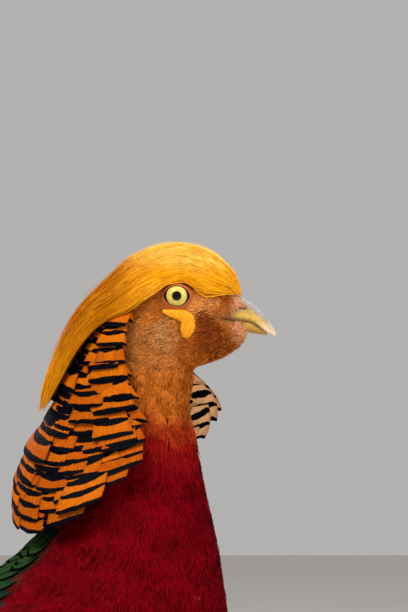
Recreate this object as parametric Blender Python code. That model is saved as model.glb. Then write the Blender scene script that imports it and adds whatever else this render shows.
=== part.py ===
"""Golden pheasant cock, life size, standing still on both feet.

The bird faces +X, its left side is +Y, and +Z is up. Sizes are in metres. The tables hold
millimetres in a drawing frame whose x is 0 under the eye and whose z is 0 on the floor; the
last step moves the finished bird so that the origin is under the middle of its box.
"""

import math

import bmesh
import bpy
from mathutils import Matrix, Vector

MM = 0.001
GAP = 0.3 * MM
LEFT, RIGHT = 1, -1
SIDES = (LEFT, RIGHT)

# The trunk, from the nape to the root of the tail. Each rib is a section through the bird:
# front or belly point (x, z), back point (x, z) and half width.
TRUNK_RIBS = (
    (6.0, 338, -26, 346, 13.0),
    (8.5, 325, -31.5, 329, 16.5),
    (6.2, 310, -35, 313, 17.5),
    (9.5, 294, -40.5, 296, 21.0),
    (14, 272, -49.5, 274, 28.5),
    (18.5, 250, -62, 251, 36.5),
    (23, 220, -80, 236, 45.0),
    (27, 192, -103, 225, 50.0),
    (21, 163, -126, 215, 52.0),
    (-5, 135, -148, 207.5, 51.0),
    (-42, 118, -166, 202, 47.0),
    (-82, 112, -181, 198, 41.5),
    (-120, 118, -194, 195, 34.0),
    (-152, 133, -205, 192.5, 26.0),
    (-178, 152, -214, 190, 19.0),
    (-200, 167, -222, 187, 12.0),
)
# The head, from the root of the bill to the back of the skull: top point, bottom point, half width.
HEAD_RIBS = (
    (28.5, 353.5, 29.5, 346, 4.0),
    (26, 358.5, 28.7, 337, 7.6),
    (19.5, 364.5, 23.8, 331.5, 10.6),
    (11, 370, 17, 328, 13.5),
    (-1, 373, 8, 325.5, 15.8),
    (-12, 371, -3, 322, 16.8),
    (-21, 364, -14, 320, 15.2),
    (-28, 354, -24, 322, 12.0),
    (-33, 342, -30, 329, 7.0),
)
# The crest and the cape are arches over the head and neck. Each row gives the lower edge
# (x, z), the ridge over the middle (x, z) and the half width at the edge.
CREST_ROWS = (
    (24.5, 357.5, 29.0, 359.0, 5.5),
    (20.5, 358.5, 24.5, 368.5, 10.5),
    (11, 359.5, 13.2, 377.5, 14.2),
    (1, 363.3, -3.1, 380.2, 16.2),
    (-12.5, 358.0, -20.2, 374.5, 18.6),
    (-21, 351.0, -31.7, 364.0, 19.0),
    (-33, 345.5, -42.7, 353.0, 17.5),
    (-43.5, 333.5, -52.4, 335.5, 14.5),
    (-51.5, 319.0, -58.6, 319.0, 10.5),
    (-57, 309.0, -60.5, 308.0, 6.0),
)
CAPE_ROWS = (
    (-19.4, 349.5, -32.0, 352, 17.5),
    (-22.4, 342, -37.5, 345, 19.0),
    (-23.0, 333, -42.5, 335, 20.5),
    (-21.8, 323, -47.5, 325, 22.0),
    (-18.0, 312, -53.0, 313, 24.0),
    (-14.0, 300, -59.5, 301, 27.5),
    (-12.8, 292, -66.0, 290, 32.0),
    (-15.5, 281, -72.0, 278, 38.0),
    (-21.0, 273, -73.0, 265, 43.0),
)
CAPE_SAG = (1.5, 11.0)
# The cape's feathers grow in tiers from a collar, a shell between two depths under the
# cape's outer face. Stations of a feather: v past its root, share of its width, depth.
CAPE_TIERS = (0.0, 0.12, 0.24, 0.36, 0.48, 0.60, 0.72)
CAPE_SHAPE = ((0, 0.78, 6.6), (0.12, 1.0, 2.7), (0.24, 0.92, 1.3), (0.28, 0.55, 0.8))
CAPE_VANE_WIDTH = 22.0
COLLAR = (4.2, 9.5, 0.79)
# The crest's locks grow in tiers from a cap over the crown. Stations of a lock: u past its
# root, share of its width, how much deeper it is sunk. A tier lies under those before it.
CREST_TIERS = (0.0, 0.12, 0.24, 0.36, 0.48, 0.58)
CREST_SHAPE = ((0, 0.85, 1.6), (0.06, 1.0, 0.1), (0.18, 1.0, 0), (0.3, 0.8, 0), (0.42, 0.12, 0))
CREST_LAYER = 1.05
CREST_FACE = 0.6
CREST_CAP = (1.5, 3.3, 0.66)
CREST_LOCK_WIDTH = 9.2
CREST_THIN = 10.0
LOCK_THICK = 0.6
CAPE_THICK = 0.75
QUILL_THICK = 0.75
# How far the cape's edge on the bird's left flares towards the breast, row by row, and outwards.
CAPE_FLARE = (0, 3, 13, 29, 34, 29, 22, 14, 8)
CAPE_FLARE_OUT = 0.10

# Scalloped feathers on the upper back: the ribs where each tier's roots lie, and the number
# of feathers in it.
MANTLE_TIERS = ((5.25, 4), (5.6, 5), (5.95, 6))
MANTLE_REACH = 0.62
MANTLE_ARC = math.radians(62)
MANTLE_SHAPE = ((0, 0.7, -1.0), (0.3, 0.95, 0.9), (0.8, 0.85, 1.9), (1, 0.4, 2.2))

EYE_AT = (0.0, 10.9, 357.0)
EYE_RADIUS = 7.0
LID_RING = (5.7, 1.25)
LID_REACH = 8.75
EYE_OUT_TILT = math.radians(8)
# Flat lappets on the cheek and round the nostril: middle (x, y, z) and half sizes.
WATTLE = ((5.3, 14.9, 346.4), (3.6, 1.5, 6.2))
NOSTRIL_FLAP = ((28.0, 4.4, 353.2), (4.2, 1.3, 1.9))

# The bill: distance in front of the eye, top z, bottom z and half width of each half.
BILL_UPPER = (
    (18.5, 351.0, 347.4, 4.6),
    (24.0, 357.0, 346.9, 5.6),
    (29.4, 356.4, 346.2, 5.2),
    (33.3, 353.5, 345.1, 4.3),
    (37.4, 349.8, 343.0, 3.1),
    (41.0, 345.5, 340.7, 1.8),
    (43.2, 341.8, 338.9, 0.8),
)
BILL_LOWER = (
    (18.5, 346.8, 342.6, 4.4),
    (24.0, 346.3, 341.2, 5.0),
    (29.4, 345.6, 340.9, 4.5),
    (33.3, 344.5, 340.2, 3.6),
    (37.4, 342.4, 339.5, 2.3),
    (40.2, 340.5, 339.2, 1.0),
)

# Each folded wing lies on a sheet down the flank. p runs from the bend of the wing towards
# the tail, q runs up across it. Rows are p, low q, high q and the pad's height.
WING_BEND = (2.0, 194.0)
WING_SLOPE = math.radians(15)
WING_ROWS = (
    (4, -2, 10, 2.0),
    (14, -13, 22, 4.5),
    (40, -22, 34, 6.0),
    (75, -24, 40, 6.5),
    (110, -23, 38, 6.0),
    (140, -20, 30, 5.0),
    (170, -16, 16, 4.0),
    (200, -9, -2, 2.0),
)
# Distance of the wing's sheet from the middle plane at each p, and how it bends in above.
WING_SHEET = ((0, 41), (30, 50), (60, 54), (90, 54.5), (120, 51), (150, 44), (180, 36), (215, 29))
WING_BEND_IN = (8.0, 0.0042)
# The wing's core: share of the rows that it runs over, how far it stays inside them at both
# sides, share of the pad's height that it fills, and how deep it goes inwards.
CORE_RUN = 0.7
CORE_INSET = 4.0
CORE_FILL = 0.5
CORE_DEPTH = 9.0
# Tiers of the folded wing, from the primaries over the secondaries, tertials and greater
# coverts to the median coverts: roots' p, tips' p at the low and the high side, low q and high
# q at the root, low and high q at the tip, feathers across, and height above the core.
WING_TIERS = (
    (92, 196, 208, -20, -7, -12, -4, 3, 0.3),
    (78, 150, 176, -20, 12, -15, 8, 4, 0.9),
    (62, 150, 165, 12, 36, 8, 26, 3, 0.9),
    (40, 88, 96, -22, 36, -22, 37, 5, 1.9),
    (12, 52, 56, -14, 26, -21, 33, 3, 2.6),
)
QUILL_RISE = 1.2
WING_SHAPE = ((0, 0.75, -1.6), (0.2, 0.95, 0.0), (0.6, 0.96, 0.3), (0.9, 0.8, 0.6), (1, 0.3, 0.7))

# The tail leaves the rump at this point and sinks in a long shallow curve.
TAIL_ROOT = (-208.2, 178.0)
TAIL_LENGTH = 700.0
TAIL_SLOPES = (math.radians(5), math.radians(12))
TAIL_CUT = -208.0
# Pairs of tail feathers from the middle outwards: their lengths, half widths and segments.
TAIL_PAIRS = (
    (700, 13.0, 9),
    (610, 13.0, 8),
    (490, 12.5, 7),
    (385, 12.0, 6),
    (300, 11.5, 5),
    (235, 11.0, 4),
    (190, 10.5, 4),
    (155, 10.0, 3),
)
# How a pair opens from the root, in mm: to its full width and to its full distance from the
# middle line. How it narrows: evenly, and again past a share of its length.
TAIL_WIDENING = (0.22, 90.0)
TAIL_OPENING = 120.0
TAIL_NARROWING = (0.35, 0.62, 0.72)
TAIL_START = 6.0
TAIL_STACK = 1.5
TAIL_SPREAD = 2.2
TAIL_ROOF = (0.35, 0.012)
TAIL_CORE = ((0, 12, 8.5, -13), (22, 13, 8, -14), (46, 10, 3.5, -13), (66, 5, -1, -9))
# Long narrow coverts beside the root of the tail, on each side: lengths, where the first one
# lies and the step to the next, and stations of share, half width and lift.
COVERT_LENGTHS = (125, 160, 195, 225, 240)
COVERT_START = 4.0
COVERT_ROW = (2.4, 4.6, 0.25, 70.0)
COVERT_SHAPE = ((0, 1.2, 4.5), (0.25, 2.0, 1.9), (0.65, 1.9, 1.6), (1, 0.4, 1.4))
NECK_CUTS = (324.0, 250.0)

# Leg joints in the drawing frame: x, half stance, z.
KNEE = (-62.0, 24.0, 142.0)
HOCK = (-106.0, 30.0, 80.0)
THIGH_RADII = (12.0, 20.0, 22.0, 20.0, 15.0, 10.5, 7.2, 5.4)
TOE_ROOT = (-90.0, 30.0, 7.5)
# Toes: name, heading outwards from straight ahead, lengths of the joints, claw length.
TOES = (
    ("inner", -26, (13, 11, 7), 9.5),
    ("middle", 2, (16, 13, 10, 7), 11.0),
    ("outer", 31, (11, 9, 8, 6), 9.0),
    ("hind", 166, (9, 5), 8.5),
)
TOE_RADII = (3.3, 2.3)
# The shank: radii at its knots, and shares of the way down at which the middle ones lie.
SHANK_RADII = (4.6, 5.0, 3.9, 3.3, 3.7, 4.6, 3.6)
SHANK_SHARES = (0.55, 0.85)
# The toes' joints lie this share of their radius above the floor, and drop from the shank
# over a few millimetres.
TOE_SEAT = 0.86
TOE_DROP = (4.0, 5.0)
# Claws and spurs: stations of share of the length and radius, in mm and as a share.
CLAW_SHAPE = ((0, 1.75), (0.3, 1.6), (0.6, 1.15), (0.85, 0.6), (1, 0.2))
SPUR = (0.34, 9.0, 2.6)
SPUR_SHAPE = ((0, 1), (0.25, 0.86), (0.6, 0.5), (1, 0.1))
SPUR_WAY = (-0.92, 0.35)

COLOURS = {
    "crest": (0.93, 0.52, 0.03),
    "face": (0.55, 0.22, 0.07),
    "horn": (0.52, 0.42, 0.16),
    "iris": (0.83, 0.66, 0.15),
    "red": (0.40, 0.01, 0.015),
    "cape": (0.85, 0.30, 0.02),
    "wing": (0.28, 0.09, 0.03),
    "tail": (0.32, 0.17, 0.06),
    "leg": (0.56, 0.42, 0.20),
    "claw": (0.16, 0.12, 0.08),
}


def material(name, roughness):
    made = bpy.data.materials.new(name)
    made.use_nodes = True
    shader = made.node_tree.nodes["Principled BSDF"]
    shader.inputs["Base Color"].default_value = (*COLOURS[name], 1)
    shader.inputs["Roughness"].default_value = roughness
    return made


def spot(x, y, z):
    """A point of the drawing frame, in metres."""
    return Vector((x, y, z)) * MM


def between(rows, t):
    """Smooth value at t, 0 to 1, of a table whose rows are evenly spaced."""
    last = len(rows) - 1
    i = min(int(t * last), last - 1)
    f = t * last - i
    a, b = rows[max(i - 1, 0)], rows[i]
    c, d = rows[i + 1], rows[min(i + 2, last)]
    return [
        q + 0.5 * f * (r - p + f * (2 * p - 5 * q + 4 * r - s + f * (3 * (q - r) + s - p)))
        for p, q, r, s in zip(a, b, c, d)
    ]


def graph(rows, x):
    """Straight-line value at x of rows of (x, value)."""
    if x <= rows[0][0]:
        return rows[0][1]
    for (x0, y0), (x1, y1) in zip(rows, rows[1:]):
        if x <= x1:
            return y0 + (y1 - y0) * (x - x0) / (x1 - x0)
    return rows[-1][1]


def shape(name, verts, faces):
    """A mesh object with its faces turned outwards."""
    mesh = bpy.data.meshes.new(name)
    mesh.from_pydata([tuple(v) for v in verts], [], faces)
    work = bmesh.new()
    work.from_mesh(mesh)
    bmesh.ops.recalc_face_normals(work, faces=work.faces)
    work.to_mesh(mesh)
    work.free()
    made = bpy.data.objects.new(name, mesh)
    bpy.context.scene.collection.objects.link(made)
    return made


def loft(name, rings):
    """A closed body through rings with equal numbers of points."""
    count = len(rings[0])
    faces = [tuple(range(count)), tuple(range((len(rings) - 1) * count, len(rings) * count))]
    for i in range(len(rings) - 1):
        for j in range(count):
            k = (j + 1) % count
            faces.append((i * count + j, i * count + k, (i + 1) * count + k, (i + 1) * count + j))
    return shape(name, [p for ring in rings for p in ring], faces)


def rib_ring(rib, count):
    """An oval ring through a rib's two points, in the plane that holds them and the Y axis."""
    first, second, half = spot(rib[0], 0, rib[1]), spot(rib[2], 0, rib[3]), rib[4] * MM
    middle, arm = (first + second) / 2, (first - second) / 2
    turns = (2 * math.pi * k / count for k in range(count))
    return [middle + arm * math.cos(a) + Vector((0, half * math.sin(a), 0)) for a in turns]


def ribbed(name, ribs, steps, count):
    return loft(name, [rib_ring(between(ribs, i / steps), count) for i in range(steps + 1)])


def arch_point(row, phi, lift=0.0, sag=0.0, flare=0.0):
    """A point of an arch; phi runs from -1, the right edge, over 0, the ridge, to 1."""
    edge, ridge, half = spot(row[0], 0, row[1]), spot(row[2], 0, row[3]), row[4] * MM
    rise = ridge - edge
    keep = 1 + lift * MM / max(rise.length, 1e-6)
    a = phi * math.pi / 2
    point = edge + rise * keep * math.cos(a) + Vector((0, (half + lift * MM) * math.sin(a), 0))
    point.z -= sag * MM * abs(math.sin(2 * a))
    if phi > 0 and flare:
        share = math.sin(a) ** 3
        point.x += flare * MM * share
        point.y += flare * CAPE_FLARE_OUT * MM * share
    return point


def crest_point(u, phi, lift=0.0):
    """A point of the crest, whose layers close up towards its narrow tip."""
    row = between(CREST_ROWS, u)
    rise = math.hypot(row[2] - row[0], row[3] - row[1])
    return arch_point(row, phi, lift * min(1, rise / CREST_THIN, row[4] / CREST_THIN))


def crest_depth(run, tier):
    """Depth of a tier's upper face: one layer for each earlier tier that still covers it."""
    spacing = CREST_TIERS[1] - CREST_TIERS[0]
    left = (CREST_SHAPE[-1][0] - run) / spacing
    return CREST_FACE + CREST_LAYER * min(tier, left)


def cape_point(v, phi, lift=0.0):
    rows = [(*row, flare) for row, flare in zip(CAPE_ROWS, CAPE_FLARE)]
    row = between(rows, v)
    sag = CAPE_SAG[0] + CAPE_SAG[1] * v * v
    return arch_point(row, phi, lift, sag, row[5])


def back_point(t, angle, lift=0.0):
    """A point of the trunk's surface at rib t, turned by angle from the middle of the back."""
    x0, z0, x1, z1, half = between(TRUNK_RIBS, t / (len(TRUNK_RIBS) - 1))
    first, second = spot(x0, 0, z0), spot(x1, 0, z1)
    middle, arm = (first + second) / 2, (second - first) / 2
    arm *= 1 + lift * MM / arm.length
    return middle + arm * math.cos(angle) + Vector((0, (half + lift) * MM * math.sin(angle), 0))


def span(point_at, u, across, step=0.002):
    """How far the surface runs for one unit across, in millimetres."""
    return (point_at(u, across + step) - point_at(u, across - step)).length / (2 * step * MM)


def arched(name, point_at, steps, count, lift_at=None, end=1.0):
    """The solid under an arch surface, closed straight across from edge to edge."""
    rings = []
    for i in range(steps + 1):
        u = end * i / steps
        lift = lift_at(u) if lift_at else 0
        rings.append([point_at(u, -1 + 2 * j / count, lift) for j in range(count + 1)])
    return loft(name, rings)


def collar(name, point_at, steps, count, outer, inner, end):
    """A shell that follows an arch surface between two depths."""
    rings = []
    for i in range(steps + 1):
        turns = [-1 + 2 * j / count for j in range(count + 1)]
        ring = [point_at(end * i / steps, phi, -outer) for phi in turns]
        ring += [point_at(end * i / steps, phi, -inner) for phi in reversed(turns)]
        rings.append(ring)
    return loft(name, rings)


def feather(name, point_at, stations, thick):
    """A closed feather that follows a surface, with a flat diamond for its section.

    point_at(u, across, lift) gives the surface in metres. Stations are rows of u, across,
    half width in the same measure as across, and lift in millimetres. Both faces are split
    into triangles alike.
    """
    rings = []
    for u, across, half, lift in stations:
        edge = lift - thick / 2
        ring = ((across - half, edge), (across, lift), (across + half, edge), (across, lift - thick))
        rings.append([point_at(u, *place) for place in ring])
    faces = []
    for i in range(len(rings) - 1):
        a, b = i * 4, (i + 1) * 4
        for j, k in ((0, 1), (1, 2)):
            faces += [(a + j, a + k, b + k), (a + j, b + k, b + j)]
        for j, k in ((2, 3), (3, 0)):
            faces += [(a + j, a + k, b + j), (a + k, b + k, b + j)]
    for a in (0, (len(rings) - 1) * 4):
        faces += [(a, a + 1, a + 3), (a + 1, a + 2, a + 3)]
    return shape(name, [p for ring in rings for p in ring], faces)


def swell(made, amount):
    """Moves a body's surface outwards."""
    work = bmesh.new()
    work.from_mesh(made.data)
    work.normal_update()
    moves = [(v, v.normal * amount) for v in work.verts]
    for v, move in moves:
        v.co += move
    work.to_mesh(made.data)
    work.free()
    return made


def duplicate(source, name):
    made = source.copy()
    made.data = source.data.copy()
    made.name = name
    bpy.context.scene.collection.objects.link(made)
    return made


def grown(source, amount):
    """A copy of a body with its surface moved outwards."""
    return swell(duplicate(source, source.name + "_grown"), amount)


def cleaned(mesh):
    """Leaves a mesh's largest closed surface, in triangles."""
    work = bmesh.new()
    work.from_mesh(mesh)
    bmesh.ops.remove_doubles(work, verts=work.verts, dist=0.002 * MM)
    bmesh.ops.triangulate(work, faces=work.faces)
    bmesh.ops.dissolve_degenerate(work, edges=work.edges, dist=0.002 * MM)
    groups, seen = [], set()
    for face in work.faces:
        if face in seen:
            continue
        seen.add(face)
        group, queue = [], [face]
        while queue:
            at = queue.pop()
            group.append(at)
            for edge in at.edges:
                if len(edge.link_faces) != 2:
                    continue
                for other in edge.link_faces:
                    if other not in seen:
                        seen.add(other)
                        queue.append(other)
        groups.append(group)
    largest = max(groups, key=lambda group: sum(f.calc_area() for f in group))
    kept = set(largest)
    bmesh.ops.delete(work, geom=[f for f in work.faces if f not in kept], context="FACES")
    work.to_mesh(mesh)
    work.free()


def combine(base, others, operation="UNION"):
    """One Boolean of base with all the others, applied; the others are then removed."""
    group = bpy.data.collections.new("operands")
    bpy.context.scene.collection.children.link(group)
    for other in others:
        for home in list(other.users_collection):
            home.objects.unlink(other)
        group.objects.link(other)
    modifier = base.modifiers.new("combine", "BOOLEAN")
    modifier.operation = operation
    modifier.operand_type = "COLLECTION"
    modifier.collection = group
    modifier.solver = "EXACT"
    graph_now = bpy.context.evaluated_depsgraph_get()
    mesh = bpy.data.meshes.new_from_object(base.evaluated_get(graph_now))
    base.modifiers.clear()
    cleaned(mesh)
    base.data = mesh
    for other in others:
        bpy.data.objects.remove(other)
    bpy.data.collections.remove(group)
    return base


def settled(made):
    """Applies an object's place, turn and scale to its mesh."""
    bpy.context.view_layer.update()
    made.data.transform(made.matrix_world)
    made.matrix_world.identity()
    return made


def slab(low, high):
    """A box between two corners of the drawing frame."""
    low, high = spot(*low), spot(*high)
    bpy.ops.mesh.primitive_cube_add(size=1, location=(low + high) / 2, scale=high - low)
    return settled(bpy.context.object)


def ball(radius, at, segments=14, rings=10):
    bpy.ops.mesh.primitive_uv_sphere_add(
        segments=segments, ring_count=rings, radius=radius * MM, location=at
    )
    return settled(bpy.context.object)


def disc_ring(centre, way, radius, count, flat=1.0):
    """A round ring across a direction; flat squeezes it upwards."""
    way = way.normalized()
    side = way.cross(Vector((0, 0, 1)))
    side = side.normalized() if side.length > 1e-6 else Vector((0, 1, 0))
    up = side.cross(way)
    turns = (2 * math.pi * k / count for k in range(count))
    return [centre + (side * math.cos(a) + up * math.sin(a) * flat) * radius for a in turns]


def limb(name, knots, count, start=None, end=None):
    """A body through knots of (point, radius), each ring across the way between its neighbours.

    start and end, where given, are the directions that the first and last rings face.
    """
    rings = []
    for i, (point, radius) in enumerate(knots):
        way = knots[min(i + 1, len(knots) - 1)][0] - knots[max(i - 1, 0)][0]
        if start and i == 0:
            way = start
        if end and i == len(knots) - 1:
            way = end
        rings.append(disc_ring(point, way, radius, count))
    return loft(name, rings)


def make_flesh():
    """The head and the trunk as whole bodies, before they are parted."""
    head = ribbed("head_form", HEAD_RIBS, 11, 16)
    trunk = ribbed("trunk_form", TRUNK_RIBS, 16, 18)
    return head, trunk


def bill_half(name, rows, grow=0.0):
    """One half of the bill: sections flat on the side of the mouth and round outside."""
    count = 9
    upper = rows is BILL_UPPER
    rings = []
    for x, top, bottom, half in rows:
        flat, round_end = (bottom, top) if upper else (top, bottom)
        height = round_end - flat
        ring = []
        for k in range(count):
            a = math.pi * k / (count - 1)
            y = half * math.copysign(abs(math.cos(a)) ** 0.8, math.cos(a))
            ring.append(spot(x, y, flat + height * math.sin(a) ** 0.75))
        rings.append(ring)
    made = loft(name, rings)
    return swell(made, grow) if grow else made


def eye_centre(side):
    return spot(EYE_AT[0], side * EYE_AT[1], EYE_AT[2])


def lid(side):
    """The raised ring of bare skin round the eye."""
    major, minor = LID_RING
    out = Vector((math.sin(EYE_OUT_TILT), side * math.cos(EYE_OUT_TILT), 0))
    bpy.ops.mesh.primitive_torus_add(
        major_radius=major * MM,
        minor_radius=minor * MM,
        major_segments=14,
        minor_segments=6,
        location=eye_centre(side) + out * 4.3 * MM,
        rotation=out.to_track_quat("Z", "Y").to_euler(),
    )
    return settled(bpy.context.object)


def mirror_left(made, name):
    """Names a finished body of the right side and adds its mirror image on the left."""
    made.name = name + "_right"
    left = duplicate(made, name + "_left")
    left.data.transform(Matrix.Scale(-1, 4, (0, 1, 0)))
    left.data.flip_normals()
    return made, left


def finish_pair(made, name, colour):
    for one in mirror_left(made, name):
        finish(one, one.name, colour)


def finish(made, name, colour):
    made.name = name
    made.data.name = name
    made.data.materials.clear()
    made.data.materials.append(PAINTS[colour])
    made.data.shade_smooth()
    made.data.set_sharp_from_angle(angle=math.radians(35))
    if made.name not in BIRD.objects:
        for home in list(made.users_collection):
            home.objects.unlink(made)
        BIRD.objects.link(made)
    return made


def part_flesh(head, trunk):
    """Head, neck and torso, parted by thin cuts, with sockets for the eyes and the bill."""
    body = combine(duplicate(head, "body"), [duplicate(trunk, "trunk_copy")])
    top, bottom = NECK_CUTS
    half = GAP / MM / 2
    far = 400
    neck = combine(
        duplicate(body, "neck"),
        [slab((-far, -far, bottom + half), (far, far, top - half))],
        "INTERSECT",
    )
    torso = combine(
        duplicate(body, "torso"),
        [slab((TAIL_CUT + half, -far, 0), (far, far, bottom - half))],
        "INTERSECT",
    )
    torso = combine(torso, mantle())
    skull = combine(body, [slab((-far, -far, top + half), (far, far, far))], "INTERSECT")
    extras = [lid(side) for side in SIDES]
    extras += [lappet(WATTLE, side) for side in SIDES]
    skull = combine(skull, extras)
    holes = [ball(EYE_RADIUS + GAP / MM, eye_centre(side)) for side in SIDES]
    holes += bill_room()
    skull = combine(skull, holes, "DIFFERENCE")
    finish(skull, "head", "face")
    finish(neck, "neck", "red")
    finish(torso, "torso", "red")
    return skull, neck, torso


def mantle():
    """The scalloped feathers of the upper back, in tiers that overlap like tiles."""
    made = []
    for root, count in MANTLE_TIERS:
        for j in range(count):
            angle = MANTLE_ARC * ((2 * j + 1) / count - 1)
            stations = []
            for share, wide, lift in MANTLE_SHAPE:
                half = wide * MANTLE_ARC / count * 0.94
                stations.append((root + MANTLE_REACH * share, angle, half, lift))
            made.append(feather("scallop", back_point, stations, QUILL_THICK))
    return made


def lappet(sizes, side):
    """A small flat swelling on the skin."""
    (x, y, z), half = sizes
    made = ball(1000, (0, 0, 0), 8, 6)
    for v in made.data.vertices:
        v.co = Vector((v.co.x * half[0], v.co.y * half[1], v.co.z * half[2])) * MM
        v.co += spot(x, side * y, z)
    return made


def bill_room():
    """Bodies that hold the bill and its nostril flaps with the gap round them."""
    room = [bill_half("bill_seat", rows, GAP) for rows in (BILL_UPPER, BILL_LOWER)]
    return room + [swell(lappet(NOSTRIL_FLAP, side), GAP) for side in SIDES]


def make_bill():
    upper = bill_half("bill_upper", BILL_UPPER)
    upper = combine(upper, [lappet(NOSTRIL_FLAP, side) for side in SIDES])
    finish(upper, "bill_upper", "horn")
    finish(bill_half("bill_lower", BILL_LOWER), "bill_lower", "horn")


def make_eyes():
    finish_pair(ball(EYE_RADIUS, eye_centre(RIGHT)), "eye", "iris")


def wing_frame(p, q):
    """The drawing-frame x and z of a point of the wing's sheet."""
    x = WING_BEND[0] - p * math.cos(WING_SLOPE) - q * math.sin(WING_SLOPE)
    z = WING_BEND[1] - p * math.sin(WING_SLOPE) + q * math.cos(WING_SLOPE)
    return x, z


def wing_point(side, p, q, height):
    """A point above the wing's sheet, which follows the flank."""
    x, z = wing_frame(p, q)
    middle, bend = WING_BEND_IN
    reach = graph(WING_SHEET, p) - bend * (q - middle) ** 2
    return spot(x, side * (reach + height), z)


def wing_core(name, side):
    """The smooth inner form of the folded wing, deep enough inwards to be cut by the torso."""
    count = 12
    steps = 8
    rings = []
    for i in range(steps + 1):
        p, low, high, height = between(WING_ROWS, i / steps * CORE_RUN)
        middle, half = (low + high) / 2, (high - low) / 2 - CORE_INSET
        ring = []
        for k in range(count):
            a = 2 * math.pi * k / count
            rise = math.sin(a) * (height * CORE_FILL if math.sin(a) > 0 else CORE_DEPTH)
            ring.append(wing_point(side, p, middle + half * math.cos(a), rise))
        rings.append(ring)
    return loft(name, rings)


def wing_cover(p, q):
    """Height of the core's outer face above the wing's sheet."""
    low, high, height = (graph([(row[0], row[k]) for row in WING_ROWS], p) for k in (1, 2, 3))
    share = min(abs(q - (low + high) / 2) / max((high - low) / 2 - CORE_INSET, 1), 0.97)
    return height * CORE_FILL * math.sqrt(1 - share * share)


def make_wings(trunk):
    """The folded wings: a core with tiers of coverts, secondaries, tertials and primaries."""
    wing = wing_core("wing", RIGHT)
    quills = []
    for root, tip_low, tip_high, low, high, end_low, end_high, count, rise in WING_TIERS:
        for j in range(count):
            place = (j + 0.5) / count
            tip = tip_low + (tip_high - tip_low) * place
            stations = []
            for share, wide, lift in WING_SHAPE:
                p = root + (tip - root) * share
                bottom = low + (end_low - low) * share
                top = high + (end_high - high) * share
                q = bottom + (top - bottom) * place
                half = (top - bottom) / count / 2 * wide
                height = QUILL_RISE + rise + lift * (1 + rise / 2)
                stations.append((p, q, half - 0.15, height))
            quills.append(feather("quill", wing_surface(RIGHT), stations, QUILL_THICK))
    wing = combine(wing, quills)
    wing = combine(wing, [grown(trunk, GAP)], "DIFFERENCE")
    finish_pair(wing, "wing", "wing")


def wing_surface(side):
    return lambda p, q, lift: wing_point(side, p, q, lift + wing_cover(p, q))


def tail_axis(s):
    """Point of the tail's middle line at distance s from its root, and the slope there."""
    start, end = TAIL_SLOPES
    steps = 24
    x, z = TAIL_ROOT
    for i in range(steps):
        slope = start + (end - start) * (i + 0.5) / steps * s / TAIL_LENGTH
        x -= math.cos(slope) * s / steps
        z -= math.sin(slope) * s / steps
    return x, z, start + (end - start) * s / TAIL_LENGTH


def tail_point(s, y, lift):
    """A point above the tail's roofed surface."""
    x, z, slope = tail_axis(s)
    first, second = TAIL_ROOF
    rise = lift - first * abs(y) - second * y * y
    return spot(x - math.sin(slope) * rise, y, z + math.cos(slope) * rise)


def tail_core():
    rings = []
    for s, half, top, bottom in TAIL_CORE:
        x, z, _ = tail_axis(s)
        rings.append(rib_ring((x, z + top, x, z + bottom, half), 14))
    return loft("tail", rings)


def tail_feather(k, side):
    """One feather of pair k: its inner edge runs beside the middle line, its tip tapers."""
    length, half, parts = TAIL_PAIRS[k]
    narrow, widened = TAIL_WIDENING
    evenly, more, past = TAIL_NARROWING
    stations = []
    for i in range(parts + 1):
        share = i / parts
        s = TAIL_START + (length - TAIL_START) * share
        wide = half * (narrow + (1 - narrow) * min(1, s / widened))
        wide *= 1 - evenly * share - more * max(0, (share - past) / (1 - past)) ** 2
        inner = GAP / MM + TAIL_SPREAD * k * min(1, s / TAIL_OPENING)
        stations.append((s, side * (inner + wide), wide, -TAIL_STACK * k))
    return feather("rectrix", tail_point, stations, QUILL_THICK)


def tail_covert(k, side):
    """A long narrow covert beside the root of the tail."""
    length = COVERT_LENGTHS[k]
    first, step, closed, opened = COVERT_ROW
    stations = []
    for share, wide, lift in COVERT_SHAPE:
        s = COVERT_START + (length - COVERT_START) * share
        y = first + step * k * min(1, closed + s / opened)
        stations.append((s, side * y, wide, lift))
    return feather("covert", tail_point, stations, QUILL_THICK)


def make_tail():
    """The long roofed tail, in nested pairs of feathers, with the coverts beside its root."""
    feathers = []
    for side in SIDES:
        feathers += [tail_feather(k, side) for k in range(len(TAIL_PAIRS))]
        feathers += [tail_covert(k, side) for k in range(len(COVERT_LENGTHS))]
    finish(combine(tail_core(), feathers), "tail", "tail")


def make_legs(trunk):
    """The feathered thighs, the shanks with their toes, the claws and the spurs."""
    knee, hock, root = (spot(x, RIGHT * y, z) for x, y, z in (KNEE, HOCK, TOE_ROOT))
    along, down = (hock - knee).normalized(), (root - hock).normalized()
    last = len(THIGH_RADII) - 1
    knots = [(knee.lerp(hock, i / last), radius * MM) for i, radius in enumerate(THIGH_RADII)]
    thigh = limb("thigh", knots, 14, end=along)
    finish_pair(combine(thigh, [grown(trunk, GAP)], "DIFFERENCE"), "thigh", "red")

    start = hock + along * GAP
    shank = [start, start + (along * 2 + down * 3) * MM, hock + down * 12 * MM]
    shank += [hock.lerp(root, share) for share in SHANK_SHARES] + [root, root + down * 4.5 * MM]
    radii = [radius * MM for radius in SHANK_RADII]
    leg = limb("leg", list(zip(shank, radii)), 10, start=along)
    toes = []
    for toe, heading, joints, claw in TOES:
        knots, tip, way = toe_knots(RIGHT, root, heading, joints)
        toes.append(limb("toe", knots, 8, end=way))
        make_claw(toe, tip, way, claw)
    leg = combine(leg, toes)
    floor = slab((-300, -100, -20), (100, 100, 0))
    finish_pair(combine(leg, [floor], "DIFFERENCE"), "leg", "leg")
    make_spur(hock, root)


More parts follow.
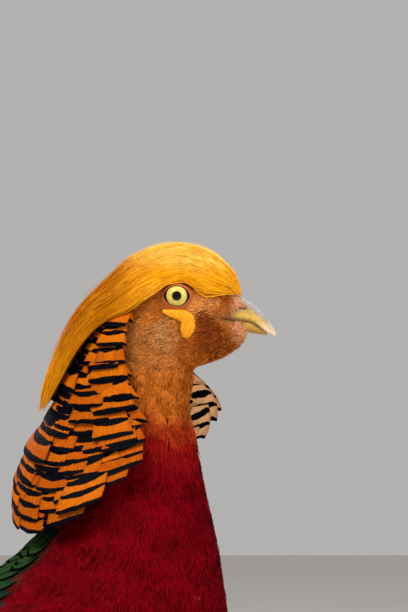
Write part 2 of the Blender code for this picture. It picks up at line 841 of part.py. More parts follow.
def toe_knots(side, root, heading, joints):
    """Knots of a toe at its knuckles, low enough for a flat underside on the floor."""
    angle = math.radians(heading)
    way = Vector((math.cos(angle), side * math.sin(angle), 0))
    first, last = TOE_RADII
    total = sum(joints)
    drop, fade = TOE_DROP
    heel = 3.2 + 0.6 * math.cos(angle / 2)
    knots = [(root - way * 1.5 * MM, heel * MM)]
    gone = 0.0
    for joint in joints:
        gone += joint
        radius = first + (last - first) * gone / total
        centre = root + way * (gone + 2) * MM
        centre.z = (radius * TOE_SEAT + math.exp(-gone / fade) * drop) * MM
        knots.append((centre, radius * MM))
    tip = knots[-1][0] + way * 0.8 * MM
    knots.append((tip, last * 0.8 * MM))
    return knots, tip, way


def make_claw(toe, tip, way, length):
    """A curved claw that starts a gap in front of its toe."""
    knots = []
    for share, radius in CLAW_SHAPE:
        at = tip + way * (GAP + share * length * MM)
        at.z = (2.0 + 0.9 * math.sin(math.pi * min(share * 1.3, 1)) - 1.5 * share**2) * MM
        knots.append((at, radius * MM))
    claw = limb("claw", knots, 6, start=way)
    for one, word in zip(mirror_left(claw, "claw"), ("right", "left")):
        finish(one, f"claw_{word}_{toe}", "claw")


def make_spur(hock, root):
    """The spur behind the shank, square to it at its root and curved up to its point."""
    share, length, radius = SPUR
    at = root.lerp(hock, share)
    up = (hock - root).normalized()
    back, inwards = SPUR_WAY
    way = Vector((back, -RIGHT * inwards, 0))
    way = (way - up * way.dot(up)).normalized()
    start = at + way * (4.0 * MM + GAP)
    knots = [
        (start + (way * f + up * 0.25 * f * f) * length * MM, radius * r * MM)
        for f, r in SPUR_SHAPE
    ]
    finish_pair(limb("spur", knots, 6, start=way), "spur", "claw")


def arch_tier(point_at, root, profile, width, thick, shift, depth_at=None):
    """One tier of feathers from edge to edge of an arch, side by side with a gap between them."""
    middle = root + profile[len(profile) // 2][0]
    arc = span(point_at, middle, 0.5) * 2
    count = round(arc / width) + shift
    made = []
    for j in range(count):
        across = -1 + (2 * j + 1) / count
        stations = []
        for run, wide, depth in profile:
            u = root + run
            half = wide / count - 0.2 / span(point_at, u, across)
            deep = depth + (depth_at(run) if depth_at else 0)
            stations.append((u, across, max(half, 0.1 / count), -deep))
        made.append(feather("plume", point_at, stations, thick))
    return made


def make_cape(head, trunk):
    """The barred cape: a collar with overlapping tiers of broad feathers."""
    outer, inner, end = COLLAR
    cape = collar("cape", cape_point, 6, 9, outer, inner, end)
    vanes = []
    for i, root in enumerate(CAPE_TIERS):
        vanes += arch_tier(cape_point, root, CAPE_SHAPE, CAPE_VANE_WIDTH, CAPE_THICK, i % 2)
    cape = combine(cape, vanes)
    cape = combine(cape, [grown(head, GAP), grown(trunk, GAP)], "DIFFERENCE")
    finish(cape, "cape", "cape")


def make_crest(head, trunk):
    """The crest: a cap over the crown with tiers of long locks that flow to the nape."""
    face, most, end = CREST_CAP
    spacing = CREST_TIERS[1] - CREST_TIERS[0]
    crest = arched(
        "crest", crest_point, 8, 10, lambda u: -face - CREST_LAYER * min(u / spacing, most), end
    )
    locks = []
    for i, root in enumerate(CREST_TIERS):
        locks += arch_tier(
            crest_point,
            root,
            CREST_SHAPE,
            CREST_LOCK_WIDTH,
            LOCK_THICK,
            i % 2,
            lambda run: crest_depth(run, i),
        )
    crest = combine(crest, locks)
    cape_outer = arched("cape_outer", cape_point, 10, 14)
    cutters = [grown(head, GAP), grown(trunk, GAP), swell(cape_outer, GAP)]
    cutters += bill_room()
    cutters += [ball(LID_REACH, eye_centre(side)) for side in SIDES]
    crest = combine(crest, cutters, "DIFFERENCE")
    finish(crest, "crest", "crest")


def centre_on_origin():
    """Moves the bird so that the origin is under the middle of its box."""
    corners = [v.co for made in BIRD.objects for v in made.data.vertices]
    low = [min(c[i] for c in corners) for i in range(3)]
    high = [max(c[i] for c in corners) for i in range(3)]
    move = Vector((-(low[0] + high[0]) / 2, -(low[1] + high[1]) / 2, -low[2]))
    for made in BIRD.objects:
        for v in made.data.vertices:
            v.co += move


for old in list(bpy.data.objects):
    bpy.data.objects.remove(old)
BIRD = bpy.data.collections.new("golden_pheasant")
bpy.context.scene.collection.children.link(BIRD)
PAINTS = {name: material(name, 0.3 if name in ("iris", "horn") else 0.6) for name in COLOURS}

head_form, trunk_form = make_flesh()
part_flesh(head_form, trunk_form)
make_bill()
make_eyes()
make_cape(head_form, trunk_form)
make_crest(head_form, trunk_form)
make_wings(trunk_form)
make_tail()
make_legs(trunk_form)
for form in (head_form, trunk_form):
    bpy.data.objects.remove(form)
centre_on_origin()
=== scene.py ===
"""Looks of the golden pheasant: skin, plumage, eyes, bill, feet, floor, light and camera.

The tables repeat the part's own sections in millimetres, in its drawing frame: x is 0 under
the eye, y is 0 in the middle plane and z is 0 on the floor. ORIGIN carries that frame to the
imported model, from the place of its right eye.
"""

import math

import bmesh
import bpy
import numpy as np
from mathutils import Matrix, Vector
from mathutils.bvhtree import BVHTree
from mathutils.kdtree import KDTree


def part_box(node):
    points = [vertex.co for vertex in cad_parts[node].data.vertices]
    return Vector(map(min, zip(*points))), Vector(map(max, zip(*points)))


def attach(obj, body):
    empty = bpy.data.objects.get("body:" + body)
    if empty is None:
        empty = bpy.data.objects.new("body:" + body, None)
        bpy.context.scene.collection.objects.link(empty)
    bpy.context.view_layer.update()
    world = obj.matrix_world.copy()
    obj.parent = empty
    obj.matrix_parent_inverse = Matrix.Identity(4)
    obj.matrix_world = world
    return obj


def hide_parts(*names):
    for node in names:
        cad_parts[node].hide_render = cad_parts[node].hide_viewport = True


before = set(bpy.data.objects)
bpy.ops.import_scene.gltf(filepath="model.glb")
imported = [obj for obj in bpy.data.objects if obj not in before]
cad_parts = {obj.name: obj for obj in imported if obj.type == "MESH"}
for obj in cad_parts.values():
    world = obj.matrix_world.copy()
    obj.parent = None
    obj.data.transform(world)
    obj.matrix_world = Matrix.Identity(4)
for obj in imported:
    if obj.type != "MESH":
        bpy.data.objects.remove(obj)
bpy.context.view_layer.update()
MM = 0.001
RNG = np.random.default_rng(11)
CAPE_SEED = 19
COAT_LIMIT = 185_000
LEFT, RIGHT = 1, -1
SIDES = (LEFT, RIGHT)
WORDS = {LEFT: "left", RIGHT: "right"}

EYE_AT = np.array((0.0, 10.9, 357.0))
EYE_RADIUS = 7.0
ORIGIN = np.mean(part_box("eye_right"), 0) - EYE_AT * (1, RIGHT, 1) * MM

# Ribs of the neck and trunk: x and z of the breast and belly, x and z of the back, half width.
TRUNK_RIBS = (
    (6.0, 338, -26, 346, 13.0),
    (8.5, 325, -31.5, 329, 16.5),
    (6.2, 310, -35, 313, 17.5),
    (9.5, 294, -40.5, 296, 21.0),
    (14, 272, -49.5, 274, 28.5),
    (18.5, 250, -62, 251, 36.5),
    (23, 220, -80, 236, 45.0),
    (27, 192, -103, 225, 50.0),
    (21, 163, -126, 215, 52.0),
    (-5, 135, -148, 207.5, 51.0),
    (-42, 118, -166, 202, 47.0),
    (-82, 112, -181, 198, 41.5),
    (-120, 118, -194, 195, 34.0),
    (-152, 133, -205, 192.5, 26.0),
    (-178, 152, -214, 190, 19.0),
    (-200, 167, -222, 187, 12.0),
)
# Ribs of the head from the bill to the nape: x and z of the crown and the chin, half width.
HEAD_RIBS = (
    (28.5, 353.5, 29.5, 346, 4.0),
    (26, 358.5, 28.7, 337, 7.6),
    (19.5, 364.5, 23.8, 331.5, 10.6),
    (11, 370, 17, 328, 13.5),
    (-1, 373, 8, 325.5, 15.8),
    (-12, 371, -3, 322, 16.8),
    (-21, 364, -14, 320, 15.2),
    (-28, 354, -24, 322, 12.0),
    (-33, 342, -30, 329, 7.0),
)
# Arches of the crest: x and z of the lower edges, x and z of the ridge, half width.
CREST_ROWS = (
    (24.5, 357.5, 29.0, 359.0, 5.5),
    (20.5, 358.5, 24.5, 368.5, 10.5),
    (11, 359.5, 13.2, 377.5, 14.2),
    (1, 363.3, -3.1, 380.2, 16.2),
    (-12.5, 358.0, -20.2, 374.5, 18.6),
    (-21, 351.0, -31.7, 364.0, 19.0),
    (-33, 345.5, -42.7, 353.0, 17.5),
    (-43.5, 333.5, -52.4, 335.5, 14.5),
    (-51.5, 319.0, -58.6, 319.0, 10.5),
    (-57, 309.0, -60.5, 308.0, 6.0),
)
# A crest's arch smaller than this moves less when it is lifted or sunk.
CREST_THIN = 10.0
# Arches of the cape, in the same order; then the sag of its sides at the top and further
# down, and how far the left side flares forwards at each arch and outwards with that.
CAPE_ROWS = (
    (-19.4, 349.5, -32.0, 352, 17.5),
    (-22.4, 342, -37.5, 345, 19.0),
    (-23.0, 333, -42.5, 335, 20.5),
    (-21.8, 323, -47.5, 325, 22.0),
    (-18.0, 312, -53.0, 313, 24.0),
    (-14.0, 300, -59.5, 301, 27.5),
    (-12.8, 292, -66.0, 290, 32.0),
    (-15.5, 281, -72.0, 278, 38.0),
    (-21.0, 273, -73.0, 265, 43.0),
)
CAPE_SAG = (1.5, 11.0)
CAPE_FLARE = (0, 3, 13, 29, 34, 29, 22, 14, 8)
CAPE_FLARE_OUT = 0.10

# Sections of the bill: x, z of the top, z of the bottom, half width. The cutting edge of the
# upper half comes down over the lower one.
BILL_UPPER = (
    (16.0, 348.4, 347.3, 6.6),
    (20.0, 352.6, 346.7, 6.3),
    (24.0, 356.9, 346.2, 5.9),
    (28.5, 356.4, 345.9, 5.2),
    (32.8, 353.8, 345.2, 4.3),
    (37.0, 350.0, 342.6, 3.2),
    (40.6, 345.9, 340.6, 1.9),
    (43.3, 341.4, 338.9, 0.5),
)
BILL_LOWER = (
    (16.0, 347.4, 343.8, 6.5),
    (20.0, 346.8, 343.0, 6.0),
    (24.0, 346.3, 342.2, 5.4),
    (28.5, 346.0, 341.4, 4.7),
    (32.8, 345.2, 340.7, 3.8),
    (37.0, 342.6, 340.1, 2.4),
    (39.6, 340.9, 339.9, 1.1),
)
# Half the width and height of the opening between the lids.
LID_OPENING = (5.0, 4.3)
# Middle line of the wattle: x, z and radius.
WATTLE_PATH = (
    (-6.2, 350.4, 0.8),
    (-2.6, 349.4, 1.7),
    (1.6, 348.6, 2.7),
    (4.5, 347.0, 3.4),
    (5.2, 344.2, 3.5),
    (4.4, 341.2, 3.0),
    (3.5, 338.7, 1.2),
)

# Folded wing: x and z of the bend, and the slope of its length. Rows give p, the lowest and
# highest q and the height of the core; the sheet gives y at p, and bends in across q.
WING_BEND = (2.0, 194.0)
WING_SLOPE = math.radians(15)
WING_ROWS = (
    (4, -2, 10, 2.0),
    (14, -13, 22, 4.5),
    (40, -22, 34, 6.0),
    (75, -24, 40, 6.5),
    (110, -23, 38, 6.0),
    (140, -20, 30, 5.0),
    (170, -16, 16, 4.0),
    (200, -9, -2, 2.0),
)
WING_SHEET = ((0, 41), (30, 50), (60, 54), (90, 54.5), (120, 51), (150, 44), (180, 36), (215, 29))
WING_BEND_IN = (8.0, 0.0042)

# Tail: x and z of its root, and its slopes at the root and the tip. Pairs give length and half
# width, the middle pair first; each lies lower and further out than the one before. The roof
# is the fall from the middle line, by y and by its square. The core at the root gives the
# distance, half width, top and bottom.
TAIL_ROOT = (-208.2, 178.0)
TAIL_LENGTH = 700.0
TAIL_SLOPES = (math.radians(5), math.radians(12))
TAIL_PAIRS = (
    (700, 13.0),
    (610, 13.0),
    (490, 12.5),
    (385, 12.0),
    (300, 11.5),
    (235, 11.0),
    (190, 10.5),
    (155, 10.0),
)
TAIL_STACK = 1.5
TAIL_SPREAD = 2.2
TAIL_ROOF = (0.35, 0.012)
TAIL_CORE = ((0, 12, 8.5, -13), (22, 13, 8, -14), (46, 10, 3.5, -13), (66, 5, -1, -9))
COVERT_LENGTHS = (125, 160, 195, 225, 240)

KNEE = (-62.0, 24.0, 142.0)
HOCK = (-106.0, 30.0, 80.0)
THIGH_RADII = (12.0, 20.0, 22.0, 20.0, 15.0, 10.5, 7.2, 5.4)
TOE_ROOT = (-90.0, 30.0, 7.5)
SHANK_RADII = (4.6, 5.0, 3.9, 3.3, 3.7, 4.6, 3.2)
# How far up the shank the spur is.
SPUR_SHARE = 0.34
# Toes: name, heading in degrees and lengths of the joints.
TOES = (
    ("inner", -26, (13, 11, 7)),
    ("middle", 2, (16, 13, 10, 7)),
    ("outer", 31, (11, 9, 8, 6)),
    ("hind", 166, (9, 5)),
)
TOE_RADII = (3.3, 2.3)

# Depth of the skin under the outer form of the head and the thighs, and its grain.
HEAD_INSET = 1.3
THIGH_INSET = 3.0
SKIN_VOXEL = 1.3

# The camera's place, and the height of the frame at the bird.
CAMERA_AT = (11.9, -1800.0, 352.6)
FRAME_TALL = 269.0

# Colours in linear light.
GOLD = np.array((0.97, 0.42, 0.003))
# GOLD_PALE gives the crest its pale streaks and the painted highlight on its crown.
GOLD_PALE = np.array((1.0, 0.70, 0.16))
# GOLD_DEEP gives the crest painted shade towards its back, and is a deeper gold elsewhere.
GOLD_DEEP = np.array((0.62, 0.19, 0.001))
CRIMSON = np.array((0.146, 0.0004, 0.0040))
CRIMSON_DEEP = np.array((0.072, 0.0003, 0.0018))
SCARLET = np.array((0.36, 0.010, 0.006))
RUST = np.array((0.55, 0.150, 0.020))
THROAT = np.array((0.38, 0.085, 0.006))
EAR_TAN = np.array((0.40, 0.140, 0.032))
EAR_PALE = np.array((0.52, 0.28, 0.11))
LORE_BROWN = np.array((0.16, 0.030, 0.006))
FOREFACE = np.array((0.66, 0.25, 0.070))
BREAST_STREAK = np.array((0.26, 0.045, 0.022))
VENT = np.array((0.06, 0.008, 0.004))
GREEN = np.array((0.004, 0.022, 0.011))
UNDERSIDE = np.array((0.86, 0.50, 0.25))


# Tables and surfaces


def table_at(rows, t):
    """Smooth rows of a table at t, which counts the rows; past its ends it runs on straight."""
    rows = np.asarray(rows, float)
    t = np.asarray(t, float)
    last = len(rows) - 1
    inside = np.clip(t, 0, last)
    i = np.clip(np.floor(inside).astype(int), 0, last - 1)
    f = (inside - i)[..., None]
    p, q = rows[np.maximum(i - 1, 0)], rows[i]
    r, s = rows[i + 1], rows[np.minimum(i + 2, last)]
    value = q + 0.5 * f * (r - p + f * (2 * p - 5 * q + 4 * r - s + f * (3 * (q - r) + s - p)))
    return value + (r - q) * (t - inside)[..., None]


def columns(rows, t):
    """The columns of a table at t, an array for each."""
    return np.moveaxis(table_at(rows, t), -1, 0)


def rib_surface(rows):
    """Surface through ribs: t counts the ribs and a turns from the first point of each."""

    def at(t, a, lift):
        x0, z0, x1, z1, half = columns(rows, t)
        arm_x, arm_z = (x0 - x1) / 2, (z0 - z1) / 2
        keep = 1 + lift / np.maximum(np.hypot(arm_x, arm_z), 1e-6)
        x = (x0 + x1) / 2 + arm_x * keep * np.cos(a)
        z = (z0 + z1) / 2 + arm_z * keep * np.cos(a)
        return np.stack((x, (half + lift) * np.sin(a), z), -1)

    return at


def arch(x0, z0, x1, z1, half, phi, lift):
    """Arches from edge (x0, z0) over ridge (x1, z1); phi runs from -1 over 0 to 1."""
    rise = np.hypot(x1 - x0, z1 - z0)
    keep = 1 + lift / np.maximum(rise, 1e-6)
    a = phi * math.pi / 2
    x = x0 + (x1 - x0) * keep * np.cos(a)
    z = z0 + (z1 - z0) * keep * np.cos(a)
    return x, (half + lift) * np.sin(a), z, a


def crest_at(u, phi, lift):
    """The crest: u runs from the bill to the nape, phi from edge to edge."""
    x0, z0, x1, z1, half = columns(CREST_ROWS, u * (len(CREST_ROWS) - 1))
    thin = np.minimum(1, np.minimum(np.hypot(x1 - x0, z1 - z0), half) / CREST_THIN)
    x, y, z, _ = arch(x0, z0, x1, z1, half, phi, lift * np.maximum(thin, 0.05))
    return np.stack((x, y, z), -1)


def cape_at(v, phi, lift):
    """The cape: v runs from the nape to the back, phi from the right edge to the left."""
    rows = [(*row, flare) for row, flare in zip(CAPE_ROWS, CAPE_FLARE)]
    *rib, flare = columns(rows, v * (len(rows) - 1))
    x, y, z, a = arch(*rib, phi, lift)
    z = z - (CAPE_SAG[0] + CAPE_SAG[1] * v * v) * np.abs(np.sin(2 * a))
    share = np.where(phi > 0, np.sin(np.maximum(a, 0)) ** 3, 0)
    return np.stack((x + flare * share, y + flare * CAPE_FLARE_OUT * share, z), -1)


def wing_at(side):
    """Surface of a folded wing: p runs from its bend to its tip, q across, lift outwards."""
    p_rows, reach_rows = zip(*WING_SHEET)
    middle, bend = WING_BEND_IN

    def at(p, q, lift):
        x = WING_BEND[0] - p * math.cos(WING_SLOPE) - q * math.sin(WING_SLOPE)
        z = WING_BEND[1] - p * math.sin(WING_SLOPE) + q * math.cos(WING_SLOPE)
        y = np.interp(p, p_rows, reach_rows) - bend * (q - middle) ** 2 + lift
        return np.stack((x, side * y, z), -1)

    return at


def wing_place(x, z):
    """p and q of a point on the flank."""
    dx, dz = x - WING_BEND[0], z - WING_BEND[1]
    p = -dx * math.cos(WING_SLOPE) - dz * math.sin(WING_SLOPE)
    return p, -dx * math.sin(WING_SLOPE) + dz * math.cos(WING_SLOPE)


def under_wing(points, margin):
    """Whether points on the flank lie under the folded wing, further in than margin."""
    p, q = wing_place(points[..., 0], points[..., 2])
    rows = np.array(WING_ROWS, float)
    lower = np.interp(p, rows[:, 0], rows[:, 1]) + margin
    upper = np.interp(p, rows[:, 0], rows[:, 2]) - margin
    return (p > 8 + margin) & (p < 185 - margin) & (q > lower) & (q < upper)


def tail_axis(s):
    """x, z and slope of the tail's middle line at distance s."""
    start, end = TAIL_SLOPES
    steps = 24
    s = np.asarray(s, float)
    x = np.full(s.shape, TAIL_ROOT[0])
    z = np.full(s.shape, TAIL_ROOT[1])
    for i in range(steps):
        slope = start + (end - start) * (i + 0.5) / steps * s / TAIL_LENGTH
        x = x - np.cos(slope) * s / steps
        z = z - np.sin(slope) * s / steps
    return x, z, start + (end - start) * s / TAIL_LENGTH


def tail_at(s, y, lift):
    """The roof-shaped tail at distance s from its root and y from the middle plane."""
    x, z, slope = tail_axis(s)
    first, second = TAIL_ROOF
    rise = lift - first * np.abs(y) - second * y * y
    return np.stack((x - np.sin(slope) * rise, y + 0 * x, z + np.cos(slope) * rise), -1)


def limb_surface(knots, radii):
    """Round surface along a line of points; t counts the points."""
    knots, radii = np.asarray(knots, float), np.asarray(radii, float)
    rows = np.column_stack((knots, radii))

    def at(t, a, lift):
        centre = table_at(rows, t)
        ahead = table_at(rows, np.asarray(t) + 0.02)[..., :3] - centre[..., :3]
        way = ahead / np.maximum(np.linalg.norm(ahead, axis=-1, keepdims=True), 1e-9)
        side = np.cross(way, (0, 0, 1.0))
        size = np.linalg.norm(side, axis=-1, keepdims=True)
        side = np.where(size > 1e-6, side / np.maximum(size, 1e-9), (0, 1.0, 0))
        up = np.cross(side, way)
        ring = side * np.cos(a)[..., None] + up * np.sin(a)[..., None]
        return centre[..., :3] + ring * (centre[..., 3] + lift)[..., None]

    return at


trunk_at = rib_surface(TRUNK_RIBS)
head_at = rib_surface(HEAD_RIBS)


def thigh_surface(side):
    """A thigh from the knee to the hock."""
    knee, hock = np.array((KNEE, HOCK)) * (1, side, 1)
    shares = np.linspace(0, 1, len(THIGH_RADII))
    return limb_surface([knee + (hock - knee) * f for f in shares], THIGH_RADII)


def slopes(surface, u, c, lift=0.0):
    """The surface's directions along u and across, in millimetres for one unit of each."""
    step = 1e-3
    lift = np.zeros(np.shape(u)) + lift
    along = (surface(u + step, c, lift) - surface(u - step, c, lift)) / (2 * step)
    across = (surface(u, c + step, lift) - surface(u, c - step, lift)) / (2 * step)
    return along, across


def unit(v):
    """Vectors brought to length 1."""
    return v / np.maximum(np.linalg.norm(v, axis=-1, keepdims=True), 1e-9)


def mix(a, b, share):
    """A value between a and b, for each share from 0 to 1."""
    share = np.asarray(share)[..., None]
    return np.asarray(a) * (1 - share) + np.asarray(b) * share


def smooth(x, low_end, high_end):
    """Smooth step of x, from 0 at low_end to 1 at high_end."""
    x = np.clip((x - low_end) / (high_end - low_end), 0, 1)
    return x * x * (3 - 2 * x)


def waves(points, size, seed=0):
    """A smooth irregular value over space, mostly from -1 to 1; size is in millimetres."""
    rng = np.random.default_rng(100 + seed)
    total = 0
    for _ in range(5):
        way = rng.normal(size=3)
        way *= 2 * math.pi / (size * rng.uniform(0.7, 1.5)) / np.linalg.norm(way)
        total = total + np.sin(points @ way + rng.uniform(0, 7))
    return total / 3.2


def patches(points, size, seed, gain=0.5, base=0.5):
    """A smooth irregular share from 0 to 1 over space."""
    return np.clip(waves(points, size, seed) * gain + base, 0, 1)


def factors(count, spread):
    """Random factors about 1, as a column."""
    return RNG.normal(1, spread, count)[:, None]


def grid_of(first, second):
    """Every pair of two lists of values: the first runs down the rows of a grid."""
    return np.meshgrid(first, second, indexing="ij")


def full_turn(count):
    """Angles of a closed ring."""
    return np.linspace(0, 2 * math.pi, count, endpoint=False)


# Meshes


def make_object(name, points, faces, uv=None, tint=None, vane=None):
    """A mesh object from drawing-frame points and a list of arrays of faces."""
    mesh = bpy.data.meshes.new(name)
    world = points.reshape(-1, 3) * MM + ORIGIN
    listed = [face for block in faces for face in block.tolist()]
    mesh.from_pydata(world.tolist(), [], listed)
    if uv is not None:
        put_uv(mesh, uv.reshape(-1, 2))
    if tint is not None:
        put_tint(mesh, tint.reshape(-1, 3))
    if vane is not None:
        layer = mesh.attributes.new("vane", "FLOAT_VECTOR", "POINT")
        layer.data.foreach_set("vector", vane.reshape(-1).astype(np.float32))
    mesh.shade_smooth()
    made = bpy.data.objects.new(name, mesh)
    bpy.context.scene.collection.objects.link(made)
    return made


def put_uv(mesh, uv):
    """The map of a piece, from the place of each point on it."""
    loops = np.empty(len(mesh.loops), np.int32)
    mesh.loops.foreach_get("vertex_index", loops)
    layer = mesh.uv_layers.new(name="OFBake")
    layer.data.foreach_set("uv", uv[loops].reshape(-1).astype(np.float32))


def put_tint(mesh, colours):
    """A colour for each point of a piece."""
    full = np.ones((len(colours), 4), np.float32)
    full[:, :3] = np.clip(colours, 0, 1)
    layer = mesh.color_attributes.new("tint", "FLOAT_COLOR", "POINT")
    layer.data.foreach_set("color", full.reshape(-1))


def dress(made, paint, slot, *nodes):
    """Gives a piece its material and its place in the frame."""
    made.data.materials.clear()
    made.data.materials.append(paint)
    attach(made, "root")
    if nodes:
        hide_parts(*nodes)
    return made


def grid_faces(rows, cols, wrap=False):
    """Quads of a grid of points stored row by row."""
    i = np.arange(rows - 1)[:, None]
    j = np.arange(cols if wrap else cols - 1)[None, :]
    k = (j + 1) % cols
    corners = (i * cols + j, i * cols + k, (i + 1) * cols + k, (i + 1) * cols + j)
    return np.stack([c + 0 * (i + j) for c in corners], -1).reshape(-1, 4)


def repeat_faces(faces, count, stride):
    """The same faces for many copies whose points follow each other."""
    steps = (np.arange(count) * stride)[:, None, None]
    return (faces[None] + steps).reshape(-1, faces.shape[1])


def map_places(u, v):
    """Places on the map of a piece, a little in from its edges, from shares of its grid."""
    return np.stack(np.broadcast_arrays(u, v), -1) * 0.96 + 0.02


def disc_places(turn, share):
    """Places on a round map, with share from its middle out to its rim."""
    return np.stack((np.cos(turn), np.sin(turn)), -1) * (share * 0.48)[..., None] + 0.5


def sheet_object(name, points, uv, tint):
    """An open sheet from a grid of points."""
    tint = np.broadcast_to(tint, points.shape)
    return make_object(name, points, [grid_faces(*points.shape[:2])], uv, tint)


def ring_faces(rows, cols, ends):
    """Faces of a body made of rings; ends closes the first and the last one."""
    faces = [grid_faces(rows, cols, wrap=True)]
    if ends:
        ring = np.arange(cols)[None]
        faces += [ring, ring + (rows - 1) * cols]
    return faces


def ring_object(name, points, uv, tint=None, vane=None, ends=False):
    """A body made of rings of points, with its faces turned outwards."""
    made = make_object(name, points, ring_faces(*points.shape[:2], ends), uv, tint, vane)
    work = bmesh.new()
    work.from_mesh(made.data)
    bmesh.ops.recalc_face_normals(work, faces=work.faces)
    work.to_mesh(made.data)
    work.free()
    return made


def tube_object(name, surface, t_values, count, lift, tint=None):
    """A closed body round a limb or rib surface."""
    t, a = grid_of(t_values, full_turn(count))
    points = surface(t, a, lift(t, a))
    uv = map_places(a / (2 * math.pi), (t - t.min()) / np.ptp(t))
    return ring_object(name, points, uv, tint and tint(t, a, points), ends=True)


# Feathers


def vane_points(surface, roots, length, half, lifts, outline, rows, cols, form):
    """Broad feathers that follow a surface.

    roots holds u, c and a sideways bend of the tip; length is in u units, half in
    millimetres, lifts the heights at the root and the tip and the camber. outline gives the
    share of the half width along the feather. form is the rounding of the tip, the fray of
    its edge, and how far one side stands over the other. The second result holds, for each
    point, k across, the distance to the tip and a number of the feather's own.
    """
    tip_round, fray, roll = form
    count = len(roots[0])
    u0, c0, turn, length, half = (each[:, None, None] for each in (*roots, length, half))
    s = np.linspace(0, 1, rows)[None, :, None]
    k = np.linspace(-1, 1, cols)[None, None, :]
    _, across = slopes(surface, u0 + length * 0.7, c0)
    across_size = np.maximum(np.linalg.norm(across, axis=-1), 0.5)
    rough = RNG.normal(0, 1, (count, 1, cols)) * fray
    u = u0 + length * s * (1 - tip_round * k * k * s * s + rough * s**4)
    c = c0 + k * half * np.interp(s, *outline) / across_size + turn * s * s / across_size
    low_lift, high_lift = (lift[:, None, None] for lift in lifts[:2])
    tilt = roll * RNG.choice((-1.0, 1.0), count) * RNG.uniform(0.4, 1, count)
    curl = RNG.normal(0, 0.2, (count, 1, 1)) * s + tilt[:, None, None] * k * s
    height = low_lift + (high_lift - low_lift) * (1 - (1 - s) ** 2)
    height = height - lifts[2] * k * k * (0.4 + 0.6 * s) + curl
    points = surface(u, c, height)
    steps = np.linalg.norm(np.diff(points, axis=1), axis=-1)
    vane = np.zeros(points.shape)
    vane[..., 0] = k
    vane[:, :-1, :, 1] = np.cumsum(steps[:, ::-1], 1)[:, ::-1]
    vane[..., 2] = RNG.uniform(0, 1, (count, 1, 1))
    return points, vane


def vane_pieces(name, batches, paint, slot, nodes=()):
    """One piece of broad feathers from batches of points; each has a cell of the map."""
    side = math.ceil(math.sqrt(sum(len(points) for points, _, _ in batches)))
    blocks, faces, uvs, vanes, tints = [], [], [], [], []
    done, base = 0, 0
    for points, vane, tint in batches:
        n, rows, cols = points.shape[:3]
        cell = np.arange(done, done + n)[:, None, None]
        s = np.linspace(0.04, 0.96, rows)[None, :, None]
        k = np.linspace(0.04, 0.96, cols)[None, None, :]
        uv = np.stack(np.broadcast_arrays(cell % side + k, cell // side + s), -1) / side
        tint = np.broadcast_to(tint[:, None, None], points.shape)
        faces.append(repeat_faces(grid_faces(rows, cols), n, rows * cols) + base)
        for kept, values in ((blocks, points), (uvs, uv), (vanes, vane), (tints, tint)):
            kept.append(values.reshape(-1, values.shape[-1]))
        done += n
        base += n * rows * cols
    points, uv, tint, vane = (np.concatenate(each) for each in (blocks, uvs, tints, vanes))
    return dress(make_object(name, points, faces, uv, tint, vane), paint, slot, *nodes)


# Materials


class Value:
    """A value that runs over the surface; arithmetic with it adds nodes to its material."""

    def __init__(self, paint, socket):
        self.paint = paint
        self.socket = socket

    def __add__(self, other):
        return self.paint.math("ADD", self, other)

    def __sub__(self, other):
        return self.paint.math("SUBTRACT", self, other)

    def __rsub__(self, other):
        return self.paint.math("SUBTRACT", other, self)

    def __mul__(self, other):
        return self.paint.math("MULTIPLY", self, other)

    def __truediv__(self, other):
        return self.paint.math("DIVIDE", self, other)

    def __abs__(self):
        return self.paint.math("ABSOLUTE", self)


